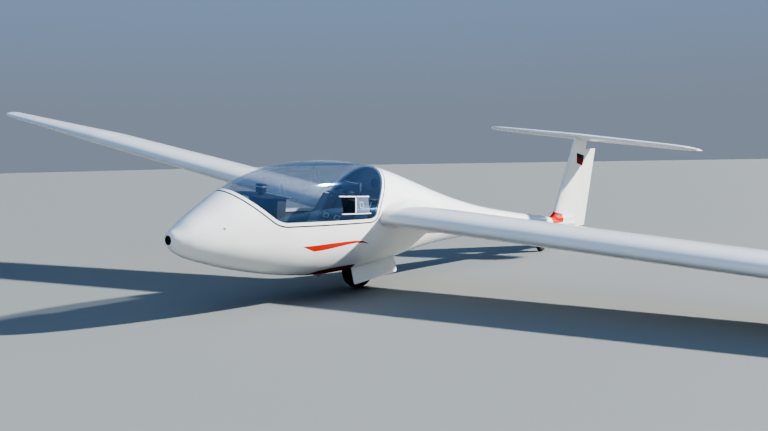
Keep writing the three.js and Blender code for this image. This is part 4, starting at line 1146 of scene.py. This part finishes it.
# Seat pan
# The seat is one glass-fibre shell from under the knees to behind the shoulders, laid up in a mould and
# bonded to the hull's sides. The floor part has a round hole for the control stick.
pan_line = [(965, 462), (1190, 396), (1300, 362), (1400, 338), (1470, 345), (1530, 395), (1590, 480),
            (1700, 660), (1800, 826)]
stick_x, stick_slot, pan_thickness, past_hull = 1085, 42, 6, 400


def sheet_across(line, thickness, half):
    """Sheet across the hull under a side view line."""
    return prism_across(line + inset_line(line, -thickness)[::-1], -half, half)


def cabin_fit(part):
    """Cuts a piece to the inside of the hull, and clear of the canopy frame."""
    trim(part, "cabin_fit", hull_form(cabin_start, cabin_end, hull_wall + 0.3, 50, 1.3))
    room = canopy_shell(-2, frame_depth + clearance + 1, "frame_room", 50)
    trim(room, "outer_line", canopy_prism(-clearance - 1))
    return carve(part, room)


pan = cabin_fit(solid("seat_shell", sheet_across(smooth_line(pan_line), pan_thickness, past_hull)))
cut(pan, "stick_slot", rod((stick_x, 0, 200), (stick_x, 0, 600), stick_slot, sides=64))
# The seat shell and the shelf take a blue-grey that is darkened as painted shade of the covered cockpit.
cockpit_grey_with_painted_shade = surface("cockpit_grey_with_painted_shade", (0.20, 0.225, 0.26), 0.55)
speckle(cockpit_grey_with_painted_shade, 900, (0.12, 0.135, 0.16), (0.25, 0.275, 0.31), "Base Color", detail=1,
        spread=(0.42, 0.6))
relief(cockpit_grey_with_painted_shade, 600, 0.00015)
dress(pan, cockpit_grey_with_painted_shade, "airframe", "white_gelcoat", "seat_pan")

# Seat cushions and headrest
# Foam pads in a woven dark blue-grey cover lie on the seat shell under the thighs and behind the back,
# and a smaller one stands on the shelf behind the head. Each is sewn with piping round its edge.


def weave(material, threads_per_metre, depth, dark, light):
    """Woven cloth: warp and weft as two crossed sets of bands, in relief and in colour."""
    tree = material.node_tree
    shader = tree.nodes["Principled BSDF"]
    place = tree.nodes.new("ShaderNodeTexCoord")
    both = tree.nodes.new("ShaderNodeMath")
    both.operation = "MULTIPLY"
    for socket, direction in zip(both.inputs, ("X", "Y")):
        band = tree.nodes.new("ShaderNodeTexWave")
        band.bands_direction = direction
        band.inputs["Scale"].default_value = threads_per_metre / 20
        band.inputs["Distortion"].default_value = 0.6
        tree.links.new(place.outputs["Object"], band.inputs["Vector"])
        tree.links.new(band.outputs["Fac"], socket)
    ramp = tree.nodes.new("ShaderNodeValToRGB")
    ramp.color_ramp.elements[0].color = (*dark, 1)
    ramp.color_ramp.elements[1].color = (*light, 1)
    tree.links.new(both.outputs[0], ramp.inputs["Fac"])
    tree.links.new(ramp.outputs["Color"], shader.inputs["Base Color"])
    bump = tree.nodes.new("ShaderNodeBump")
    bump.inputs["Distance"].default_value = depth
    tree.links.new(both.outputs[0], bump.inputs["Height"])
    tree.links.new(bump.outputs["Normal"], shader.inputs["Normal"])
    shader.inputs["Sheen Weight"].default_value = 0.4
    shader.inputs["Sheen Roughness"].default_value = 0.5


cover_cloth = surface("cover_cloth", (0.05, 0.065, 0.095), 0.9)
weave(cover_cloth, 900, 0.0005, (0.022, 0.03, 0.046), (0.085, 0.105, 0.145))
piping_cloth = surface("piping_cloth", (0.02, 0.024, 0.03), 0.8)
weave(piping_cloth, 1600, 0.0003, (0.012, 0.014, 0.018), (0.035, 0.04, 0.05))
cloth_frames, pad_cap = 20, 7


def stuffed(name, form, node):
    """A pad blown up by a short cloth simulation from a slightly smaller closed form."""
    pad = solid(name, form)
    grid = pad.modifiers.new("grid", "REMESH")
    grid.mode = "VOXEL"
    grid.voxel_size = 0.006
    applied(pad)
    start = [v.co.copy() for v in pad.data.vertices]
    cloth = pad.modifiers.new("blow", "CLOTH")
    cloth.settings.use_pressure = True
    cloth.settings.uniform_pressure_force = 4
    cloth.settings.effector_weights.gravity = 0
    for frame_number in range(1, cloth_frames + 1):
        bpy.context.scene.frame_set(frame_number)
    blown = pad.evaluated_get(bpy.context.evaluated_depsgraph_get())
    places = [v.co.copy() for v in blown.data.vertices]
    pad.modifiers.clear()
    bpy.context.scene.frame_set(1)
    for vertex, old, new in zip(pad.data.vertices, start, places):
        shift = new - old
        vertex.co = old + shift * min(1, pad_cap * mm / max(shift.length, 1e-9))
    smooth = pad.modifiers.new("smooth", "SUBSURF")
    smooth.levels = smooth.render_levels = 1
    dress(applied(pad), cover_cloth, "airframe", "upholstery", node, sharp=80)


def piping(name, points, radius, sides=10):
    """Round sewn cord through points, closed on itself."""
    rings = []
    for i, point in enumerate(points):
        along = (Vector(points[(i + 1) % len(points)]) - Vector(points[i - 1])).normalized()
        across = along.cross(Vector((0, 1, 0)) if abs(along.y) < 0.9 else Vector((0, 0, 1))).normalized()
        rings.append(circle(Vector(point), across, along.cross(across), radius, sides))
    dress(solid(name, wrapped(rings)), piping_cloth, "airframe", "upholstery", sharp=80)


cushion_thickness, cushion_half, shrink = 38, 190, 8
for name, node, rows in (("thigh_cushion", "seat_cushion", pan_line[1:4]),
                         ("shoulder_cushion", "back_cushion", pan_line[6:])):
    middle = smooth_line(rows, 8)[1:-1]
    top = inset_line(middle, cushion_thickness - shrink + 2)
    low = inset_line(middle, shrink - 2)
    stuffed(name, prism_across(top + low[::-1], shrink - cushion_half, cushion_half - shrink), node)
    edge = inset_line(smooth_line(rows, 8), cushion_thickness / 2)
    piping(f"{name}_piping", [(x, 1 - cushion_half, z) for x, z in edge]
           + [(x, cushion_half - 1, z) for x, z in edge[::-1]], 3)
stuffed("head_cushion", slab(1842, 1873, -103, 103, 849, 958), "headrest")
piping("head_cushion_piping", [(1857.5, y, z) for y, z in (
    (-108, 846), (0, 843.5), (108, 846), (109, 905), (108, 962), (0, 964), (-108, 962), (-109, 905))], 2.6)

# Harness
# Four straps of flat dark webbing meet in a round turn-release buckle: two come up from the seat's sides
# over the lap, two come down from the shelf over the shoulders. They lie loose on the cushions.
webbing = surface("webbing", (0.03, 0.035, 0.05), 0.75)
weave(webbing, 1300, 0.0004, (0.014, 0.017, 0.026), (0.05, 0.058, 0.08))
strap_section = ((-0.5, 0), (-0.48, 0.7), (-0.25, 1), (0, 1.08), (0.25, 1), (0.48, 0.7), (0.5, 0),
                 (0.48, -0.3), (0, -0.1), (-0.48, -0.3))
strap_thickness = 2.2


def strap(name, points, width, across):
    """Flat webbing along a curve, its width held across it, with a slight crown."""
    rows = smooth_line(points, 8)
    across = Vector(across).normalized()
    rings = []
    for i, point in enumerate(rows):
        along = (Vector(rows[min(i + 1, len(rows) - 1)]) - Vector(rows[max(i - 1, 0)])).normalized()
        side = (across - along * across.dot(along)).normalized()
        up = along.cross(side)
        if up.z < 0:
            up = -up
        rings.append([tuple(Vector(point) + side * width * share + up * strap_thickness * lift)
                      for share, lift in strap_section])
    dress(solid(name, loft(rings)), webbing, "airframe", "upholstery", sharp=50)


slide_half, slide_radius = 27, 4
for side, name in both_sides:
    strap(f"lap_strap_{name}", [(1545, side * 262, 452), (1500, side * 225, 438), (1470, side * 150, 430),
                                (1458, side * 80, 438), (1455, side * 30, 444)], 46, (1, 0, 0.4))
    strap(f"shoulder_strap_{name}", [(1845, side * 62, 846), (1812, side * 64, 872), (1770, side * 66, 872),
                                     (1700, side * 68, 778), (1640, side * 66, 682), (1588, side * 56, 584),
                                     (1530, side * 38, 500), (1478, side * 18, 454)], 44, starboard)
    corners = [(x, y + end, z) for end in (-slide_half, slide_half)
               for x, y, z in ((1634, side * 66, 683), (1618, side * 64, 655))]
    bar = solid(f"strap_slide_{name}", rod(corners[0], corners[2], slide_radius, sides=20))
    for start, end in ((1, 3), (0, 1), (2, 3)):
        join(bar, "bar", rod(corners[start], corners[end], slide_radius, sides=20))
    dress(bar, steel, "airframe", "bare_aluminium")
buckle_at, buckle_axis = (1455, 0, 446), Vector((-0.45, 0, 1)).normalized()
buckle = solid("buckle_body", spun([(-6, 26), (-4, 29), (6, 29), (10, 26)], buckle_at, buckle_axis))
dress(buckle, steel, "airframe", "bare_aluminium")
knob = solid("buckle_knob", spun([(9, 21), (15, 21), (18, 18)], buckle_at, buckle_axis))
dress(soften(knob, 1), black_moulding, "airframe", "black_plastic")

# Shelf behind the seat
# A glass-fibre shelf and bulkhead in the cockpit's grey, darkened as painted shade, close it off behind the
# pilot's head. The bulkhead has a round hand hole with a lip, and the shelf two eyes for the shoulder straps.
shelf_z, bulkhead_x, hand_hole_z, hand_hole_radius = 836, 2150, 935, 38
shelf = solid("rear_shelf_panel", slab(1826, bulkhead_x, -past_hull, past_hull, shelf_z, shelf_z + 6))
join(shelf, "bulkhead", slab(bulkhead_x - 0.1, bulkhead_x + 6, -past_hull, past_hull, 700, 1200))
cabin_fit(shelf)
cut(shelf, "hand_hole", rod((2100, 0, hand_hole_z), (2200, 0, hand_hole_z), hand_hole_radius, sides=48))
dress(shelf, cockpit_grey_with_painted_shade, "airframe", "white_gelcoat", "rear_shelf")
lip_profile = [(37, -1), (43, -1), (44, 1), (43, 9), (37, 9), (36, 4)]
hole_lip = solid("hand_hole_lip", turned(lip_profile, (bulkhead_x - 1, 0, hand_hole_z), aft))
dress(hole_lip, rubber, "airframe", "black_plastic")
for side, name in both_sides:
    y = side * 62
    eye = solid(f"strap_eye_{name}", slab(1832, 1858, y - 26, y + 26, shelf_z + 6.3, shelf_z + 10))
    dress(soften(eye, 1.2), steel, "airframe", "bare_aluminium")

# Instrument panel
# A grey crackle-painted panel on a column between the pilot's knees carries six round instruments and a
# radio; its grey is darkened almost to black as painted shade. Each instrument has a black bezel with four
# screws, a black face, white marks and a needle.
# The crackle paint's grey is darkened almost to black, as painted shade of the covered cockpit.
crackle = surface("crackle_paint_darkened_as_shade", (0.06, 0.066, 0.075), 0.55)
speckle(crackle, 260, (0.04, 0.045, 0.052), (0.085, 0.092, 0.1), "Base Color", spread=(0.4, 0.62))
relief(crackle, 420, 0.0004, detail=5)
hood_line = [(690, 893), (800, 895), (965, 884)]
hood_thickness, hood_seat, pod_front, pod_back, pod_low, pod_half = 5, 6, 850, 940, 560, 165
pod = solid("panel_case", prism_across(
    [(pod_front, pod_low), (pod_back, pod_low), (pod_back, between(hood_line, pod_back, 1) - hood_seat),
     (pod_front, between(hood_line, pod_front, 1) - hood_seat)], -pod_half, pod_half))
join(pod, "column", slab(870, 930, -60, 60, 200, pod_low + 10))
cabin_fit(pod)
dress(soften(pod, 4, 4), crackle, "airframe", "grey_panel", "instrument_pod")

bezel_black = surface("bezel_black", (0.012, 0.012, 0.013), 0.3, coat=0.2)
speckle(bezel_black, 60, 0.24, 0.36, "Roughness")
relief(bezel_black, 500, 0.00005)
dial_black = surface("dial_black", (0.006, 0.006, 0.007), 0.7)
speckle(dial_black, 300, 0.6, 0.8, "Roughness")
dial_white = surface("dial_white", (0.75, 0.75, 0.7), 0.6)
speckle(dial_white, 300, 0.5, 0.7, "Roughness")
screen_green = surface("screen_green", (0.10, 0.13, 0.08), 0.25)
speckle(screen_green, 200, 0.18, 0.3, "Roughness")


def on_dial(at, turn, radius, proud):
    """Place on a dial at an angle clockwise from its top, proud of the panel by a distance."""
    return at + Vector((proud, radius * math.sin(turn), radius * math.cos(turn)))


# Rows of the dials: y, z, radius, heading of the needle in degrees
dials = [(-104, 828, 40, 200), (0, 828, 40, -35), (104, 828, 40, 90),
         (-104, 735, 40, 225), (0, 738, 31, 140), (104, 735, 31, 60)]
bezels, dial_discs, marks, needles, screws = [], [], [], [], []
for y, z, radius, heading in dials:
    at = Vector((pod_back, y, z))
    bezels.append(turned([(radius - 4, 0.4), (radius + 2, 0.4), (radius + 2, 5), (radius, 7),
                          (radius - 2.5, 7), (radius - 4, 3)], at, aft, 56))
    dial_discs.append(spun([(0.3, radius - 3.9), (2, radius - 3.9)], at, aft, 56))
    for i in range(20):
        inner, outer = (on_dial(at, math.pi * i / 10, radius - inwards, 2.4)
                        for inwards in (10 if i % 2 else 13, 6))
        marks.append(rod(inner, outer, 0.7, sides=8))
    tail, tip = (on_dial(at, heading * degree, reach, 3.4) for reach in (-8, radius - 9))
    needles.append(rod(tail, tip, 1.9, 0.6, sides=10))
    needles.append(spun([(2.1, 3), (4.6, 3)], at, aft, 20))
    for i in range(4):
        spot = on_dial(at, math.pi * (0.25 + i / 2), radius + 7.5, 0)
        screws.append(spun([(0.2, 3), (1.6, 3), (2.3, 2)], spot, aft, 16))
for name, forms, material, slot_name in (
        ("dial_bezels", bezels, bezel_black, "black_plastic"),
        ("dial_faces", dial_discs, dial_black, "black_plastic"),
        ("dial_marks", marks, dial_white, "white_gelcoat"),
        ("dial_needles", needles, dial_white, "white_gelcoat"),
        ("dial_screws", screws, steel, "bare_aluminium")):
    dress(solid(name, together(*forms)), material, "airframe", slot_name)
radio = soften(solid("radio_case", slab(pod_back + 0.3, pod_back + 9, -80, 80, 640, 686)), 2, 3)
dress(radio, bezel_black, "airframe", "black_plastic")
display = soften(solid("radio_display", slab(pod_back + 9.2, pod_back + 10, -38, 30, 652, 675)), 0.3)
dress(display, screen_green, "airframe", "black_plastic")
radio_knobs = together(*[spun([(9, 9), (18, 8.5), (20, 7)], (pod_back, y, 663), aft, 24)
                         for y in (-60, 54)])
dress(solid("radio_knobs", radio_knobs), black_moulding, "airframe", "black_plastic")

# Panel hood and compass
# A thin moulded hood covered in black leather shades the panel, with round front corners. A white rod along
# its rear edge is a painted highlight for the sunlit lip of the hood. A liquid compass stands on it: a black
# case with an aluminium band and a white card in its bowl.
hood_half, hood_corner = 185, 60
hood_front, hood_back = hood_line[0][0], hood_line[-1][0]
hood_plan = [(hood_back + 1, -hood_half), (hood_back + 1, hood_half)]
for side, first in ((1, math.pi / 2), (-1, math.pi)):
    hood_plan += [(hood_front + hood_corner * (1 + math.cos(t)),
                   side * (hood_half - hood_corner) + hood_corner * math.sin(t))
                  for t in (first + math.pi / 2 * i / 10 for i in range(11))]
hood = solid("panel_shade", sheet_across(smooth_line(hood_line, 8), hood_thickness, hood_half))
trim(hood, "hood_plan", loft([[(x, y, z) for x, y in hood_plan] for z in (850, 940)]))
hood_finish = surface("hood_leather", (0.02, 0.021, 0.024), 0.6)
speckle(hood_finish, 40, 0.5, 0.7, "Roughness")
relief(hood_finish, 500, 0.0003, detail=4)
dress(soften(hood, 1.8, 3), hood_finish, "airframe", "black_plastic", "panel_hood")
# The white rod is a painted highlight standing for the sunlit lip of the hood.
hood_lip_highlight = solid("hood_lip_highlight_rod", rod_across(hood_back - 4, 887, hood_half - 1, 4.6, 20))
dress(hood_lip_highlight, white_enamel, "airframe", "painted_steel")

compass_z, case_front, case_back, case_half = 940, 800, 850, 33
compass_case = solid("compass_case", slab(case_front, case_back, -case_half, case_half, 911, 975))
join(compass_case, "compass_foot", slab(case_front + 8, case_back - 8, -14, 14, 895.5, 915))
cut(compass_case, "bowl_room", rod((822, 0, compass_z + 4), (856, 0, compass_z + 4), 21, sides=48))
dress(soften(compass_case, 5, 4), hood_finish, "airframe", "black_plastic", "compass")
compass_band = solid("compass_band", slab(case_front - 1, 846, -case_half - 1, case_half + 1, 950, 962))
cut(compass_band, "band_room", slab(case_front - 0.2, 860, -case_half - 0.2, case_half + 0.2, 940, 970))
dress(soften(compass_band, 0.3), aluminium, "airframe", "bare_aluminium")
card_profile = [(824, 15), (824.6, 17), (835, 17), (836, 15)]
card = solid("compass_card", spun(card_profile, (0, 0, compass_z + 3), aft))
dress(card, dial_white, "airframe", "white_gelcoat")

# Control stick
# A steel tube comes up through a leather boot in the seat shell and ends in a black grip, shaped for the
# fingers, with a talk button on top.
stick_foot, stick_neck, grip_top = (stick_x, 0, 232), (stick_x, 0, 497), Vector((stick_x - 20, 0, 610))
dress(solid("stick_tube", rod(stick_foot, stick_neck, 9)), grey_enamel, "airframe", "painted_steel")
grip_axis = grip_top - Vector(stick_neck)
grip_length = grip_axis.length
grip_rows = [(0, 10), (3, 14.5), (12, 15.5)]
grip_rows += [(18 + (grip_length - 34) * i / 24, 14.3 + 1.5 * math.cos(2 * math.pi * i / 6))
              for i in range(25)]
grip_rows += [(grip_length - 10, 15.8), (grip_length - 3, 13.5), (grip_length, 9)]
grip = solid("stick_grip", spun(grip_rows, stick_neck, grip_axis, 32))
dress(grip, black_moulding, "airframe", "black_plastic", "control_stick", sharp=60)
button = solid("talk_button", spun([(-1, 5), (2.4, 5), (3.4, 4)], grip_top, grip_axis, 24))
dress(button, red_film, "airframe", "black_plastic")
boot_rows = [(0, 55), (6, 53), (14, 42), (18, 44), (26, 34), (30, 36), (40, 25), (44, 27), (56, 17),
             (60, 19), (74, 11), (84, 10)]
boot = solid("stick_boot", spun(boot_rows, (stick_x, 0, 434), (0, 0, 1)))
dress(boot, hood_finish, "airframe", "upholstery", sharp=80)

# Rudder pedals
# Two ribbed aluminium plates on a cross tube take the pilot's feet.
# The tube reaches from one side of the hull to the other.
pedal_x, pedal_z, pedal_y, pedal_half = 600, 520, 95, 40
pedals = solid("pedal_tube", rod_across(pedal_x, pedal_z, past_hull, 9))
for side in (-1, 1):
    y = side * pedal_y
    plate = solid("plate", slab(pedal_x - 6, pedal_x + 6, y - pedal_half, y + pedal_half, 515, 640))
    for z in (545, 565, 585, 605, 625):
        cut(plate, "pedal_groove", slab(pedal_x + 3, pedal_x + 8, y - pedal_half + 6, y + pedal_half - 6,
                                        z - 3, z + 3))
    carve(pedals, plate, "UNION")
dress(soften(cabin_fit(pedals), 1), aluminium, "airframe", "bare_aluminium", "rudder_pedals")

# Side consoles with their levers
# Narrow grey shelves run along both sides of the cockpit, their grey darkened almost to black as painted
# shade. The port one has the airbrake and trim levers on slotted plates, the starboard one the wheel lever.
knob_blue = surface("knob_blue", (0.02, 0.09, 0.42), 0.35, coat=0.3)
knob_green = surface("knob_green", (0.02, 0.22, 0.06), 0.35, coat=0.3)
for paint in (knob_blue, knob_green):
    speckle(paint, 60, 0.28, 0.42, "Roughness")
console_inner, lever_y, console_z, console_thickness = 262, 277, 560, 20
plate_low, plate_high = console_z + console_thickness + 0.3, console_z + console_thickness + 3
levers = {-1: ((1120, knob_blue, "brake"), (1330, knob_green, "trim")),
          1: ((1150, black_moulding, "wheel"),)}
for side, name in both_sides:
    y0, y1 = sorted((side * console_inner, side * past_hull))
    console = solid(f"side_shelf_{name}", slab(960, 1560, y0, y1, console_z, console_z + console_thickness))
    dress(soften(cabin_fit(console), 2, 3), crackle, "airframe", "grey_panel", f"console_{name}")
    for x, paint, kind in levers[side]:
        y = side * lever_y
        slot_plate = solid(f"{kind}_slot_plate", slab(x - 70, x + 70, y - 11, y + 11, plate_low, plate_high))
        cut(slot_plate, "slot", slab(x - 58, x + 58, y - 3, y + 3, plate_low - 1.3, plate_high + 2))
        dress(soften(slot_plate, 0.6), aluminium, "airframe", "bare_aluminium")
        arm = solid(f"{kind}_lever_arm", rod((x - 20, y, plate_low + 0.2), (x - 34, y, 640), 5, sides=20))
        dress(arm, steel, "airframe", "bare_aluminium")
        handle = solid(f"{kind}_lever_knob", spun([(0, 9), (4, 13), (18, 14.5), (36, 13), (44, 9), (46, 5)],
                                                  (x - 34, y, 636), (-14, 0, 60), 32))
        dress(handle, paint, "airframe", "black_plastic", sharp=60)
